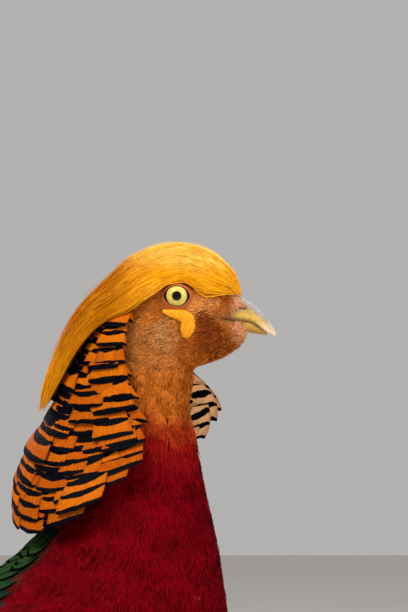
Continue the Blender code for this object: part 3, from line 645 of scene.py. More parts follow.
class Paint:
    """A material with short ways to add and join nodes."""

    def __init__(self, name, roughness, specular, **others):
        self.made = bpy.data.materials.new(name)
        self.made.use_nodes = True
        self.nodes = self.made.node_tree.nodes
        self.links = self.made.node_tree.links
        self.shader = self.nodes["Principled BSDF"]
        self.set("Roughness", roughness)
        self.set("Specular IOR Level", specular)
        for key, value in others.items():
            self.set(key.replace("_", " ").title(), value)

    def set(self, name, value):
        self.put(self.shader.inputs[name], value)

    def put(self, socket, value):
        if isinstance(value, Value):
            self.links.new(value.socket, socket)
        else:
            socket.default_value = value

    def node(self, kind):
        return self.nodes.new("ShaderNode" + kind)

    def fed(self, node, *inputs, output=0, **named):
        """The output of a node, after its inputs are set or joined in order or by name."""
        for socket, value in zip(node.inputs, inputs):
            self.put(socket, value)
        for name, value in named.items():
            self.put(node.inputs[name], value)
        return Value(self, node.outputs[output])

    def math(self, operation, a, b=0.5):
        node = self.node("Math")
        node.operation = operation
        return self.fed(node, a, b)

    def mix(self, share, a, b, blend="MIX"):
        """Colour between a and b, or another blend of them, by share."""
        node = self.node("Mix")
        node.data_type = "RGBA"
        node.blend_type = blend
        for socket, colour in zip(node.inputs[6:8], (a, b)):
            self.put(socket, colour if isinstance(colour, Value) else (*colour, 1))
        return self.fed(node, share, output=2)

    def ramp(self, value, start, end):
        """Smooth step of value from start to end."""
        node = self.node("MapRange")
        node.interpolation_type = "SMOOTHSTEP"
        return self.fed(node, value, start, end)

    def noise(self, vector, scale, detail=3.0, rough=0.6):
        """Uneven values about 0.5."""
        settings = {"Vector": vector, "Scale": scale, "Detail": detail, "Roughness": rough}
        return self.fed(self.node("TexNoise"), **settings)

    def cells(self, vector, scale, feature="DISTANCE_TO_EDGE"):
        """Distances within irregular cells, to their edges or their middles."""
        node = self.node("TexVoronoi")
        node.feature = feature
        return self.fed(node, Vector=vector, Scale=scale)

    def attribute(self, name, kind):
        node = self.node("Attribute")
        node.attribute_name = name
        return self.fed(node, output=kind)

    def place(self):
        """The place on the object."""
        return self.fed(self.node("TexCoord"), output="Object")

    def split(self, vector):
        node = self.node("SeparateXYZ")
        self.fed(node, vector)
        return [Value(self, output) for output in node.outputs]

    def join(self, *parts):
        return self.fed(self.node("CombineXYZ"), *parts)

    def bump(self, height, strength, distance):
        settings = {"Strength": strength, "Distance": distance, "Height": height}
        self.set("Normal", self.fed(self.node("Bump"), **settings))

    def colour(self, value):
        self.set("Base Color", value)

    def toned(self, value, share, dark, pale):
        """A colour darkened and lightened by share, between two factors."""
        return self.mix(1.0, value, self.mix(share, dark, pale), "MULTIPLY")

    def tinted(self, share, dark, pale):
        """Colours the surface by its own tint, darkened and lightened by share."""
        self.colour(self.toned(self.attribute("tint", "Color"), share, dark, pale))

    def feather(self):
        """Of a feather: k across, distance to the tip, a random number, and its barbs.

        The barbs are fine slanted streaks, as a value about 0.5.
        """
        k, along, seed = self.split(self.attribute("vane", "Vector"))
        lengthwise = along * 0.25 + abs(k) * 2.2
        return k, along, seed, self.noise(self.join(k * 14.0, lengthwise, seed * 40.0), 1.6, 3.0, 0.7)


def soft_paint(name, roughness, specular, grain, edges, dark, pale):
    """Soft plumage or silk: the tint with fine uneven shade."""
    paint = Paint(name, roughness, specular)
    paint.tinted(paint.ramp(paint.noise(paint.place(), *grain), *edges), dark, pale)
    return paint.made


def skin_paint():
    """Skin and down between the feathers."""
    paint = Paint("skin", 0.7, 0.05)
    grain = paint.noise(paint.place(), 480.0, 4.0)
    paint.tinted(paint.ramp(grain, 0.3, 0.7), (0.55, 0.55, 0.55), (0.95, 0.95, 0.95))
    paint.bump(grain, 0.5, 0.0006)
    return paint.made


def bare_paint():
    """Bare skin of the lids and the wattle: granular and slightly moist."""
    paint = Paint("bare_skin", 0.5, 0.2, subsurface_weight=0.15, subsurface_scale=0.001)
    grain = paint.cells(paint.place(), 1500.0, "F1")
    paint.tinted(grain, (1.06, 1.06, 1.06), (0.70, 0.66, 0.6))
    paint.bump(grain, 0.6, 0.0003)
    return paint.made


def cape_paint():
    """Orange cape feathers with blue-black bars parallel to the tip."""
    paint = Paint("cape_feather", 0.5, 0.02)
    k, along, seed, streak = paint.feather()
    shift = (paint.noise(paint.join(k * 0.9, 0.0, seed * 90.0), 1.3) - 0.5) * 1.4
    fine = (streak - 0.5) * 0.5
    d = along + (shift + fine)
    bow = k * k * 0.95
    tip = 1.0 - paint.ramp(along + fine + bow, 2.1, 2.4)
    second, third = (
        1.0 - paint.ramp(abs(d - distance) + bow, inner, outer)
        for distance, inner, outer in ((7.2, 1.35, 1.65), (13.2, 1.7, 2.0))
    )
    bars = paint.math("MAXIMUM", tip, paint.math("MAXIMUM", second, third))
    tint = paint.attribute("tint", "Color")
    orange = paint.toned(tint, paint.ramp(streak, 0.3, 0.75), (0.66, 0.55, 0.5), (1.2, 1.2, 1.15))
    orange = paint.mix(paint.ramp(abs(k), 0.75, 1.0) * 0.35, orange, (0.20, 0.030, 0.001))
    paint.colour(paint.mix(bars, orange, (0.0012, 0.0014, 0.0035)))
    paint.bump(streak, 0.5, 0.0004)
    return paint.made


def scale_paint():
    """Green feathers of the upper back with velvet-black edges."""
    paint = Paint("mantle_feather", 0.6, 0.0)
    k, along, _, streak = paint.feather()
    edge = 1.0 - paint.ramp(along, 1.2, 2.4)
    dark = paint.math("MAXIMUM", edge, paint.ramp(abs(k), 0.72, 0.9))
    green = paint.mix(paint.ramp(streak, 0.3, 0.7), (0.004, 0.018, 0.007), (0.030, 0.062, 0.016))
    blue = paint.mix(paint.ramp(along, 6.0, 12.0), green, (0.006, 0.024, 0.018))
    paint.colour(paint.mix(dark, blue, (0.0015, 0.002, 0.002)))
    paint.bump(streak, 0.4, 0.0003)
    return paint.made


def quill_paint(name, pale, dark, bar_step, bar_share, roughness=0.5, metallic=0.0):
    """Wing feathers: a ground colour with slanted bars and a dark shaft line."""
    paint = Paint(name, roughness, 0.02, metallic=metallic)
    k, along, _, streak = paint.feather()
    d = along + abs(k) * 1.5 + (streak - 0.5) * (bar_step * 0.5)
    wave = paint.math("FRACT", d / bar_step)
    bar = 1.0 - paint.ramp(wave, bar_share - 0.08, bar_share + 0.08)
    ground = paint.mix(paint.ramp(streak, 0.3, 0.72), dark, pale)
    lit = paint.mix(1.0, ground, paint.attribute("tint", "Color"), "MULTIPLY")
    body = paint.mix(bar * 0.75, lit, paint.mix(1.0, lit, (0.12, 0.1, 0.1), "MULTIPLY"))
    shaft = 1.0 - paint.ramp(abs(k), 0.03, 0.09)
    paint.colour(paint.mix(shaft * 0.6, body, (0.03, 0.015, 0.008)))
    paint.bump(streak, 0.5, 0.0003)
    return paint.made


def tail_paint():
    """Tail feathers: the middle ones dark with round buff spots, the others barred."""
    paint = Paint("tail_feather", 0.5, 0.03)
    k, along, seed, streak = paint.feather()
    grain = paint.noise(paint.join(k * 3.0, along * 0.3, seed), 2.0, 4.0)
    spot_places = paint.join(k * 2.1, along * 0.155, seed)
    spots = 1.0 - paint.ramp(paint.cells(spot_places, 1.0, "F1"), 0.20, 0.36)
    dark = paint.mix(paint.ramp(grain, 0.35, 0.7), (0.010, 0.006, 0.004), (0.035, 0.016, 0.008))
    spotted = paint.mix(spots, dark, (0.42, 0.19, 0.065))
    wave = paint.math("FRACT", (along + abs(k) * 9.0 + (grain - 0.5) * 9.0) / 11.0)
    bar = paint.ramp(wave, 0.42, 0.52) * (1.0 - paint.ramp(wave, 0.9, 1.0))
    barred = paint.mix(bar, (0.36, 0.165, 0.06), (0.014, 0.008, 0.005))
    middle = paint.split(paint.attribute("tint", "Color"))[0]
    base = paint.mix(paint.ramp(middle, 0.4, 0.6), barred, spotted)
    lit = paint.toned(base, paint.ramp(streak, 0.3, 0.7), (0.72, 0.72, 0.72), (1.12, 1.12, 1.12))
    shaft = 1.0 - paint.ramp(abs(k), 0.02, 0.07)
    paint.colour(paint.mix(shaft, lit, (0.05, 0.022, 0.01)))
    paint.bump(streak, 0.5, 0.0004)
    return paint.made


def horn_paint():
    """The bill: smooth horn with faint growth lines."""
    paint = Paint("horn", 0.36, 0.5, coat_weight=0.15)
    x, y, z = paint.split(paint.place())
    lines = paint.noise(paint.join(x * 900.0, y * 300.0, z * 900.0), 1.0, 4.0)
    paint.tinted(paint.ramp(lines, 0.3, 0.7), (0.78, 0.76, 0.72), (1.1, 1.1, 1.08))
    paint.bump(lines, 0.25, 0.0003)
    paint.set("Roughness", paint.ramp(lines, -1.2, 1.6))
    return paint.made


def iris_paint():
    """Iris and pupil from the distance to the eye's axis, wet and glossy."""
    paint = Paint("iris", 0.05, 0.12, coat_weight=0.2)
    radius, turn, _ = paint.split(paint.attribute("vane", "Vector"))
    fibre = paint.noise(paint.join(turn * 9.0, radius * 0.5, 0.0), 3.0, 4.0)
    pale = paint.mix(paint.ramp(fibre, 0.3, 0.7), (0.50, 0.36, 0.045), (0.74, 0.62, 0.16))
    inner = paint.mix(paint.ramp(radius, 2.0, 2.7), (0.42, 0.26, 0.03), pale)
    outer = paint.mix(paint.ramp(radius, 4.3, 4.6), inner, (0.010, 0.007, 0.005))
    paint.colour(paint.mix(paint.ramp(radius, 1.93, 2.07), (0.002, 0.002, 0.003), outer))
    return paint.made


def leg_paint():
    """Scaled skin of the feet, with painted shade between the scales."""
    paint = Paint("foot_skin", 0.55, 0.2)
    edge = paint.ramp(paint.cells(paint.place(), 850.0), 0.0, 0.14)
    # Painted shade: darker towards the edges of the scales, in the grooves between them.
    paint.tinted(edge, (0.70, 0.66, 0.60), (1.0, 1.0, 1.0))
    paint.bump(edge, 0.6, 0.0004)
    return paint.made


def claw_paint():
    """Dark horn of the claws and the spurs."""
    paint = Paint("claw_horn", 0.38, 0.45)
    lines = paint.noise(paint.place(), 900.0, 3.0)
    paint.colour(paint.mix(paint.ramp(lines, 0.3, 0.7), (0.06, 0.04, 0.025), (0.16, 0.11, 0.07)))
    paint.bump(lines, 0.3, 0.0002)
    return paint.made


DOWN_SHADES = ((0.3, 0.75), (0.80, 0.78, 0.76), (1.12, 1.12, 1.12))
DOWN = soft_paint("down", 0.6, 0.01, (500.0, 2.0), *DOWN_SHADES)
FACE_DOWN = soft_paint("face_down", 0.7, 0.01, (900.0, 2.0), *DOWN_SHADES)
SILK_SHADES = ((0.35, 0.7), (0.92, 0.88, 0.75), (1.06, 1.08, 1.12))
SILK = soft_paint("crest_silk", 0.45, 0.015, (240.0, 3.0), *SILK_SHADES)
SKIN = skin_paint()
BARE = bare_paint()
HORN = horn_paint()


# Colours over the body


def plumage(points, turn, low):
    """Markings of the face, the neck, the trunk and the thighs.

    turn is the angle from the line of the breast and the belly, and low runs down a thigh.
    """
    x, z = points[..., 0], points[..., 2]
    rough = waves(points, 9.0, 1)
    patch = patches(points, 13.0, 2, 0.6)
    red = mix(CRIMSON_DEEP * 1.5, CRIMSON * 1.15, patch)
    red = mix(red, SCARLET * 0.8, smooth(z + rough * 3, 280, 299) * 0.75)
    throat = mix(THROAT * 0.8, RUST, patches(points, 5.0, 3, 0.55))
    colour = mix(red, throat, smooth(z + rough * 4.0 + 0.10 * x, 297, 313))
    off_back = math.pi - turn
    on_back = 1 - smooth(off_back + rough * 0.12, 0.95, 1.3)
    behind = smooth(-x + rough * 4, 90, 104)
    colour = mix(colour, mix(GOLD_DEEP, GOLD, patches(points, 6.0, 4)), on_back * behind)
    over = smooth(-x, 40, 50) * (1 - behind) * (1 - smooth(z, 256, 264))
    on_mantle = 1 - smooth(off_back + rough * 0.08, 0.55, 0.75)
    green = mix(GREEN, GREEN * 1.8, np.clip(rough * 0.5 + 0.5, 0, 1))
    colour = mix(colour, green, on_mantle * over)
    beside = smooth(off_back, 1.0, 1.3) * (1 - smooth(off_back, 1.7, 2.1)) * smooth(-x, 100, 125)
    colour = mix(colour, SCARLET, beside * 0.8)
    vent = smooth(-x, 118, 150) * (1 - smooth(turn, 0.9, 1.5))
    colour = mix(colour, mix(VENT, CRIMSON_DEEP, patch), vent)
    colour = mix(colour, LORE_BROWN * 1.3, smooth(low, 4.6, 6.6))
    return mix(colour, face_colour(points), smooth(z + 0.25 * x, 318, 330))


def spot_of(points, x, z, wide, tall, edge, soft):
    """1 in the middle of a soft oval patch seen from the side, 0 outside it."""
    gap = np.hypot((points[..., 0] - x) / wide, (points[..., 2] - z) / tall)
    return 1 - smooth(gap + waves(points, 3.2, int(wide * 7)) * 0.14, edge - soft, edge + soft)


# Patches of the face: colour, strength, whether it is broken up, x, z, half width, half
# height, edge and softness.
FACE_PATCHES = (
    (EAR_TAN, 0.85, False, -13, 337, 12, 14, 1.0, 0.45),
    (EAR_TAN * 1.15, 0.5, False, -2, 333, 6, 9, 0.8, 0.4),
    (FOREFACE, 0.75, False, 12, 352.5, 9, 5, 0.9, 0.4),
    (LORE_BROWN * 0.8, 0.9, False, 12.5, 347.6, 4.6, 2.6, 0.9, 0.5),
    (LORE_BROWN * 1.1, 0.9, False, 14.5, 342.5, 5.5, 3.6, 0.9, 0.5),
    (LORE_BROWN * 1.2, 0.8, False, 17, 337, 9, 5.5, 0.8, 0.5),
    (EAR_PALE, 0.7, True, -3.5, 341, 5, 7, 0.9, 0.5),
    (RUST * 0.75, 0.6, False, -13, 349, 9, 5, 0.9, 0.4),
)


def face_colour(points):
    """Markings of the face: tan ear patch, dark lores and chin, rust cheeks and throat."""
    colour = mix(RUST * 0.85, THROAT, patches(points, 4.0, 5))
    broken = patches(points, 2.2, 22, 0.6, 0.6)
    for hue, strength, breaks, *oval in FACE_PATCHES:
        share = spot_of(points, *oval) * strength
        colour = mix(colour, hue, share * broken if breaks else share)
    return colour


# Skin


def head_inset(t, _):
    """Height of the skin over the outer form of the head, below 0 as it lies inside."""
    return -HEAD_INSET + 0 * t


def trunk_inset(t, _):
    """The same for the neck and trunk, at rib t."""
    return -1.7 - 2.6 * smooth(t, 1.0, 4.5)


def thigh_inset(t, _):
    """The same for a thigh, at station t."""
    return -THIGH_INSET * (1 - 0.75 * smooth(t, 3, 6.5))


def bill_value(table, x, column):
    """One column of a table of the bill, at x."""
    rows = np.array(table)
    return np.interp(x, rows[:, 0], rows[:, column])


def bill_edge(z):
    """How far forward the feathers of the face reach on the bill, at height z."""
    return np.minimum(16.8 + 1.25 * np.maximum(z - 347.4, 0) + 1.2 * np.maximum(346.4 - z, 0), 25.0)


def bill_seat(points):
    """Draws the skin in at the root of the bill, so that the bill's flanks come out of it."""
    x, y, z = np.moveaxis(points, -1, 0)
    room = np.maximum(bill_value(BILL_UPPER, x, 3) - 0.9, 1.0)
    room = room * (1 - 0.45 * smooth(z, 350.5, 357.5))
    share = smooth(x - bill_edge(z), 0.0, 2.4) * smooth(z - 0.10 * (24 - x), 342.2, 344.2)
    drawn = np.sign(y) * np.minimum(np.abs(y), room)
    points[..., 1] = y + (drawn - y) * share
    return points


def make_skin():
    """One skin for the head, neck, body and thighs, inside them by the plumage's depth."""
    forms = [
        tube_object("form_head", head_at, np.linspace(0, 8, 41), 48, head_inset),
        tube_object("form_trunk", trunk_at, np.linspace(0, 15, 76), 64, trunk_inset),
    ]
    for side in SIDES:
        steps = np.linspace(0, 7, 29)
        forms.append(tube_object("form_thigh", thigh_surface(side), steps, 32, thigh_inset))
    choose(forms)
    bpy.ops.object.join()
    skin = forms[0]
    skin.name = "skin"
    remesh = skin.modifiers.new("remesh", "REMESH")
    remesh.mode = "VOXEL"
    remesh.voxel_size = SKIN_VOXEL * MM
    soften = skin.modifiers.new("soften", "SMOOTH")
    soften.factor = 0.5
    soften.iterations = 8
    graph = bpy.context.evaluated_depsgraph_get()
    made = bpy.data.meshes.new_from_object(skin.evaluated_get(graph))
    skin.modifiers.clear()
    skin.data = made
    made.name = "skin"
    points = bill_seat(vertex_points(made))
    made.vertices.foreach_set("co", (points * MM + ORIGIN).astype(np.float32).reshape(-1))
    made.update()
    unfold(skin)
    made.shade_smooth()
    thighs = [f"thigh_{word}" for word in WORDS.values()]
    return dress(skin, SKIN, "red", "head", "neck", "torso", *thighs)


def choose(pieces):
    """Selects pieces alone and makes the first one active."""
    bpy.ops.object.select_all(action="DESELECT")
    for piece in pieces:
        piece.select_set(True)
    bpy.context.view_layer.objects.active = pieces[0]


def vertex_points(mesh):
    """The points of a mesh in the drawing frame."""
    flat = np.empty(len(mesh.vertices) * 3, np.float32)
    mesh.vertices.foreach_get("co", flat)
    return (flat.reshape(-1, 3).astype(float) - ORIGIN) / MM


def unfold(skin):
    """Gives the skin its map, unfolded from its own faces."""
    for layer in list(skin.data.uv_layers):
        skin.data.uv_layers.remove(layer)
    skin.data.uv_layers.new(name="OFBake")
    choose([skin])
    bpy.ops.object.mode_set(mode="EDIT")
    bpy.ops.mesh.select_all(action="SELECT")
    bpy.ops.uv.smart_project(angle_limit=1.2, island_margin=0.002)
    bpy.ops.object.mode_set(mode="OBJECT")


def lie_samples():
    """Points of the body's sections with the lie of the plumage, the turn and the place.

    Columns: point, lie, turn from the breast line, and place down a thigh.
    """
    blocks = []
    thighs = [(thigh_surface(side), 7, 1.6) for side in SIDES]
    for surface, last, first in ((head_at, 8, 0), (trunk_at, 15, 0.5), *thighs):
        t, a = np.meshgrid(np.linspace(first, last, 8 * last), np.linspace(0, 2 * math.pi, 40))
        t, a = t.reshape(-1), a.reshape(-1)
        along, _ = slopes(surface, t, a)
        turn = np.minimum(a, 2 * math.pi - a)
        low = t * 0
        if surface is head_at:
            turn = math.pi - turn
        elif surface is not trunk_at:
            turn, low = np.zeros(len(t)) + 0.9, t
        blocks.append(np.column_stack((surface(t, a, 0 * t), unit(along), turn, low)))
    return np.concatenate(blocks)


def tree_of(samples):
    """A tree that finds the samples nearest to a point."""
    tree = KDTree(len(samples))
    for i, sample in enumerate(samples.tolist()):
        tree.insert(sample[:3], i)
    tree.balance()
    return tree


LIE_SAMPLES = lie_samples()
LIE_TREE = tree_of(LIE_SAMPLES)

# The columns of a root: its point, the skin's normal and the lie of the plumage, and then
# these: the turn from the breast line, the place down a thigh, and the place on the map.
TURN, LOW, MAP_U, MAP_V = 9, 10, 11, 12


def felt_at(points):
    """The lie, the turn from the breast line and the place down a thigh near each point."""
    felt = np.empty((len(points), 5))
    for i, point in enumerate(points.tolist()):
        near = [found[1] for found in LIE_TREE.find_n(point, 5)]
        felt[i] = LIE_SAMPLES[near, 3:].mean(0)
    return felt


def read_ground(mesh):
    """The skin's triangles, with the columns of a root at each corner."""
    points = vertex_points(mesh)
    felt = felt_at(points)
    normals = np.empty(len(points) * 3, np.float32)
    mesh.vertices.foreach_get("normal", normals)
    # The skin takes the plumage's colour darkened, as painted shade under the tufts.
    put_tint(mesh, plumage(points, felt[:, 3], felt[:, 4]) * 0.8)
    mesh.calc_loop_triangles()
    corners, loops = (np.empty(len(mesh.loop_triangles) * 3, np.int32) for _ in range(2))
    mesh.loop_triangles.foreach_get("vertices", corners)
    mesh.loop_triangles.foreach_get("loops", loops)
    flat = np.empty(len(mesh.loops) * 2, np.float32)
    mesh.uv_layers["OFBake"].data.foreach_get("uv", flat)
    values = np.column_stack((points, normals.reshape(-1, 3).astype(float), felt))[corners]
    return np.column_stack((values, flat.reshape(-1, 2)[loops])).reshape(-1, 3, MAP_V + 1)


def grid_ground(points, normals, felt, uv, wrap=False):
    """The triangles of a grid of points, stored as those of the skin are."""
    quads = grid_faces(*points.shape[:2], wrap)
    values = np.concatenate((points, normals, felt, uv), -1).reshape(-1, MAP_V + 1)
    return values[np.concatenate((quads[:, :3], quads[:, (0, 2, 3)]))]


def scatter(density, per_area, ground=None):
    """Roots on the skin, per_area of them on a square millimetre where the density is 1."""
    ground = GROUND if ground is None else ground
    a, b, c = np.moveaxis(ground[..., :3], 1, 0)
    area = np.linalg.norm(np.cross(b - a, c - a), axis=-1) / 2
    wanted = area * per_area * density(ground.mean(1))
    which = np.repeat(np.arange(len(area)), RNG.poisson(np.maximum(wanted, 0)))
    r1, r2 = np.sqrt(RNG.uniform(0, 1, len(which))), RNG.uniform(0, 1, len(which))
    shares = np.stack((1 - r1, r1 * (1 - r2), r1 * r2), -1)[..., None]
    return (ground[which] * shares).sum(1)


def tuft_form(count, length, width, heading, depth, **shared):
    """The form of count tufts: four values that may differ between them, and the rest."""
    each = {"length": length, "width": width, "heading": heading, "depth": depth}
    return {key: np.zeros(count) + value for key, value in each.items()} | shared


def some_of(form, pick):
    """The form of some of the tufts."""
    return form | {key: form[key][pick] for key in ("length", "width", "heading", "depth")}


def coat(name, roots, colour, form, paint, slot):
    """Tufts of narrow blades on the skin, in pieces under the limit of faces.

    form holds the length, width, heading and depth of each tuft, the number of blades and of
    stations, the fan, roll, bend and looseness of the blades, their curve towards the skin,
    their painted shade, darkest at the root where the tufts overlap and lighter at the tip,
    and how much the tint varies from blade to blade.
    """
    blades, stations = form["blades"], form["stations"]
    per_piece = COAT_LIMIT // (blades * (2 * (stations - 2) + 1))
    pieces = max(1, math.ceil(len(roots) / per_piece))
    order = RNG.permutation(len(roots))
    for k in range(pieces):
        pick = order[k::pieces]
        points, share, cross = blade_points(roots[pick], some_of(form, pick))
        root_uv = roots[pick, MAP_U:][:, None, None]
        uv = root_uv + np.stack((cross * 0.0012, (share - 0.5) * 0.0024), -1)
        uv = np.broadcast_to(uv, points.shape[:3] + (2,))
        # Painted shade along each blade: darkest at the root, where the tufts overlap, lighter
        # towards the tip.
        low_shade, high_shade = form["shade"]
        shade = (low_shade + (high_shade - low_shade) * share)[None, None, :, None]
        vary = RNG.normal(1, form["vary"], (len(pick), blades))[..., None, None]
        tint = colour[pick][:, None, None, :] * shade * vary
        total, stride = len(pick) * blades, points.shape[2]
        faces = [repeat_faces(each, total, stride) for each in blade_faces(stations)]
        dress(make_object(f"{name}_{k + 1}", points, faces, uv, tint), paint, slot)


def soft_rise(s):
    """How a tuft lifts off the skin along its length, as a share of its depth."""
    return np.sin(np.minimum(s * 1.3, 1) * math.pi / 2) - 0.12 * s


def blade_lines(roots, form):
    """The middle lines of tufts' blades, and the way across each blade."""
    blades = form["blades"]
    each = (len(roots), blades)
    base, normal, lie = roots[:, None, None, :3], unit(roots[:, 3:6]), roots[:, 6:9]
    lie = unit(lie - normal * (lie * normal).sum(1, keepdims=True))
    side = np.cross(normal, lie)
    fan = np.linspace(-1, 1, blades)[None] * form["fan"]
    turn = form["heading"][:, None] + fan + RNG.normal(0, 0.07, each)
    ahead, aside = np.cos(turn)[..., None], np.sin(turn)[..., None]
    way = lie[:, None] * ahead + side[:, None] * aside
    cross_way = side[:, None] * ahead - lie[:, None] * aside
    roll = RNG.normal(0, form["roll"], each)[..., None]
    cross_way = unit(cross_way + normal[:, None] * roll)
    reach = form["length"][:, None] * RNG.uniform(0.78, 1.1, each)
    offset = fan / form["fan"] * form["width"][:, None] + RNG.normal(0, 0.15, each)
    s = np.linspace(0, 1, form["stations"])
    run = reach[..., None] * s
    bend = RNG.normal(0, form["bend"], each)[..., None] * run * s
    height = soft_rise(s) * form["depth"][:, None, None]
    height = height + RNG.normal(0, form["loose"], each)[..., None] * s - run * run * form["curve"]
    middle = base + way[:, :, None] * run[..., None] + normal[:, None, None] * height[..., None]
    return middle + cross_way[:, :, None] * (bend + offset[..., None])[..., None], cross_way


def blade_points(roots, form):
    """Points of tufts' blades, with each point's share of the length and its side."""
    middle, cross_way = blade_lines(roots, form)
    count, blades, stations = middle.shape[:3]
    shares = np.linspace(0, 1, stations)
    half = form["width"][:, None] / 2 * np.interp(shares, (0, 0.3, 0.6, 1), (0.6, 1, 0.9, 0.25))
    spread = cross_way[:, :, None] * half[:, None, :, None]
    edges = np.stack((middle - spread, middle + spread), 3)[:, :, :-1]
    points = np.concatenate((edges.reshape(count, blades, -1, 3), middle[:, :, -1:]), 2)
    share = np.concatenate((np.repeat(shares[:-1], 2), shares[-1:]))
    cross = np.concatenate((np.tile((-1.0, 1.0), stations - 1), (0.0,)))
    return points, share, cross


def blade_faces(stations):
    """Faces of one blade, which ends in a point."""
    quads = [(2 * i, 2 * i + 1, 2 * i + 3, 2 * i + 2) for i in range(stations - 2)]
    last = 2 * (stations - 2)
    return np.array(quads).reshape(-1, 4), np.array([(last, last + 1, last + 2)])


skin = make_skin()
GROUND = read_ground(skin.data)
SKIN_TREE = BVHTree.FromObject(skin, bpy.context.evaluated_depsgraph_get())


# Body plumage


def face_share(points):
    """1 on the face, 0 below it."""
    return smooth(points[..., 2] + 0.25 * points[..., 0], 316, 326)


def hidden_share(roots):
    """1 where the cape, a wing, the mantle or the rump's feathers hide the body's, else 0."""
    x, y, z = (roots[..., i] for i in range(3))
    turn = roots[..., TURN]
    wing = under_wing(roots[..., :3], 6) & (np.abs(y) > 24)
    cape = (z > 268) & (turn > 2.0) & (x < -12)
    reach = np.where(x < -88, 0.95, 0.5)
    back = (math.pi - turn < reach) & (z <= 262) & (x < -40)
    return np.where(wing | cape | back, 1.0, 0.0)


def make_body_coat():
    """Silky feathers of the neck, breast and flanks, coarser ones behind and below."""

    def shown(roots):
        fine = smooth(roots[:, 2], 205, 235) + 1.1 * smooth(roots[:, 2], 292, 312)
        return (1 - face_share(roots)) * (1 - 0.9 * hidden_share(roots)) * (0.42 + 0.58 * fine)

    roots = scatter(shown, 0.36)
    colour, form = body_form(roots)
    upper = roots[:, 2] > 228
    for name, pick in (("neck_feathers", upper), ("body_feathers", ~upper)):
        coat(name, roots[pick], colour[pick], some_of(form, pick), DOWN, "red")


def body_form(roots):
    """Colours and form of the body's tufts at their roots."""
    points, turn, low = roots[:, :3], roots[:, TURN], roots[:, LOW]
    z, count = roots[:, 2], len(roots)
    fine, high_neck = smooth(z, 205, 235), smooth(z, 296, 314)
    thigh, shank = smooth(low, 1.0, 3.0), smooth(low, 4.0, 6.8)
    length = (14 - 4.0 * fine - 4.6 * high_neck - 6.5 * shank) * RNG.uniform(0.8, 1.2, count)
    width = 1.25 - 0.62 * fine - 0.12 * high_neck - 0.35 * thigh
    depth = np.interp(z, (120, 250, 325, 345), (3.9, 3.9, 1.7, 1.3)) * (1 - 0.62 * shank)
    colour = plumage(points, turn, low) * factors(count, 0.10)
    streak = (RNG.uniform(0, 1, count) < 0.006) & (np.abs(z - 250) < 50) & (turn < 1.0)
    colour[streak] = BREAST_STREAK
    return colour, tuft_form(
        count, length, width, waves(points, 24.0, 6) * 0.20, depth, blades=5, stations=4,
        fan=0.20, roll=0.16, bend=0.012, loose=0.14, curve=0.006, shade=(0.78, 1.10), vary=0.08,
    )


def eye_gap(points):
    """Distance from the middle of the nearer eye, seen from the side."""
    return np.hypot(points[..., 0] - EYE_AT[0], points[..., 2] - EYE_AT[2])


def wattle_gap(points):
    """Distance from the wattle, seen from the side."""
    gap = np.full(points.shape[:-1], 1e3)
    steps = np.linspace(0, len(WATTLE_PATH) - 1, 30)
    for x, z, radius in table_at(WATTLE_PATH, steps):
        gap = np.minimum(gap, np.hypot(points[..., 0] - x, points[..., 2] - z) - radius)
    return gap


def crest_line(x):
    """Height of the crest's lower edge on the side of the head."""
    return np.interp(x, (-34, -21, -12.5, 1, 11, 20.5, 26), (344, 351, 357.5, 363, 360, 359, 358.5))


def make_face_coat():
    """Short down of the face, finest round the eye and the bill."""

    def shown(roots):
        x, y, z = np.moveaxis(roots[:, :3], -1, 0)
        bare = (eye_gap(roots) < 7.0) | (wattle_gap(roots) < 0.5)
        seat = (x > 18.5) & (np.abs(y) < 6.0) & (z > 343.2)
        return face_share(roots) * np.where(bare | seat | (z > crest_line(x) + 5), 0.0, 1.0)

    roots = scatter(shown, 1.5)
    points, count = roots[:, :3], len(roots)
    near_bill = smooth(points[:, 0], 9, 19) * 0.8
    near_eye = (1 - smooth(eye_gap(points), 8, 13)) * 0.75
    near_wattle = (1 - smooth(wattle_gap(points), 0.5, 3.0)) * 0.7
    small = np.maximum(np.maximum(near_bill, near_eye), near_wattle)
    rough = RNG.normal(0, 1, count)
    form = tuft_form(
        count,
        (5.4 - 3.4 * small) * RNG.uniform(0.75, 1.25, count),
        0.42 - 0.16 * small,
        waves(points, 8.0, 7) * 0.35 + rough * 0.18,
        1.35 - 0.5 * small,
        blades=3, stations=4, fan=0.32, roll=0.25, bend=0.05, loose=0.16, curve=0.012,
        shade=(0.72, 1.28), vary=0.13,
    )
    below = smooth(points[:, 2] + 0.25 * points[:, 0], 318, 330)
    colour = mix(plumage(points, roots[:, TURN], roots[:, LOW]), face_colour(points), below)
    coat("face_feathers", roots, colour * factors(count, 0.15), form, FACE_DOWN, "face")


def make_bristles():
    """Small feathers that reach forwards over the root of the bill and under the chin."""

    def shown(roots):
        x, y, z = np.moveaxis(roots[:, :3], -1, 0)
        lores = (np.abs(x - bill_edge(z) + 0.8) < 2.2) & (z < 357.5) & (np.abs(y) > 4.6)
        return np.where(lores | (x > 23) & (z < 343), 1.0, 0.0)

    roots = scatter(shown, 2.6)
    points, count = roots[:, :3], len(roots)
    front = smooth(points[:, 0], 21, 24)
    form = tuft_form(
        count,
        (2.6 + 2.4 * front) * RNG.uniform(0.7, 1.3, count),
        0.24,
        math.pi - (1 - front) * 0.5 * np.sign(points[:, 1]) + RNG.normal(0, 0.35, count),
        0.8,
        blades=3, stations=4, fan=0.35, roll=0.3, bend=0.06, loose=0.2, curve=0.0,
        shade=(0.7, 1.25), vary=0.15,
    )
    colour = mix(face_colour(points), FOREFACE * 0.9, 0.35)
    colour = mix(colour, (0.70, 0.34, 0.18), front * smooth(points[:, 2], 333, 338) * 0.8)
    coat("bristles", roots, colour * factors(count, 0.2), form, FACE_DOWN, "face")


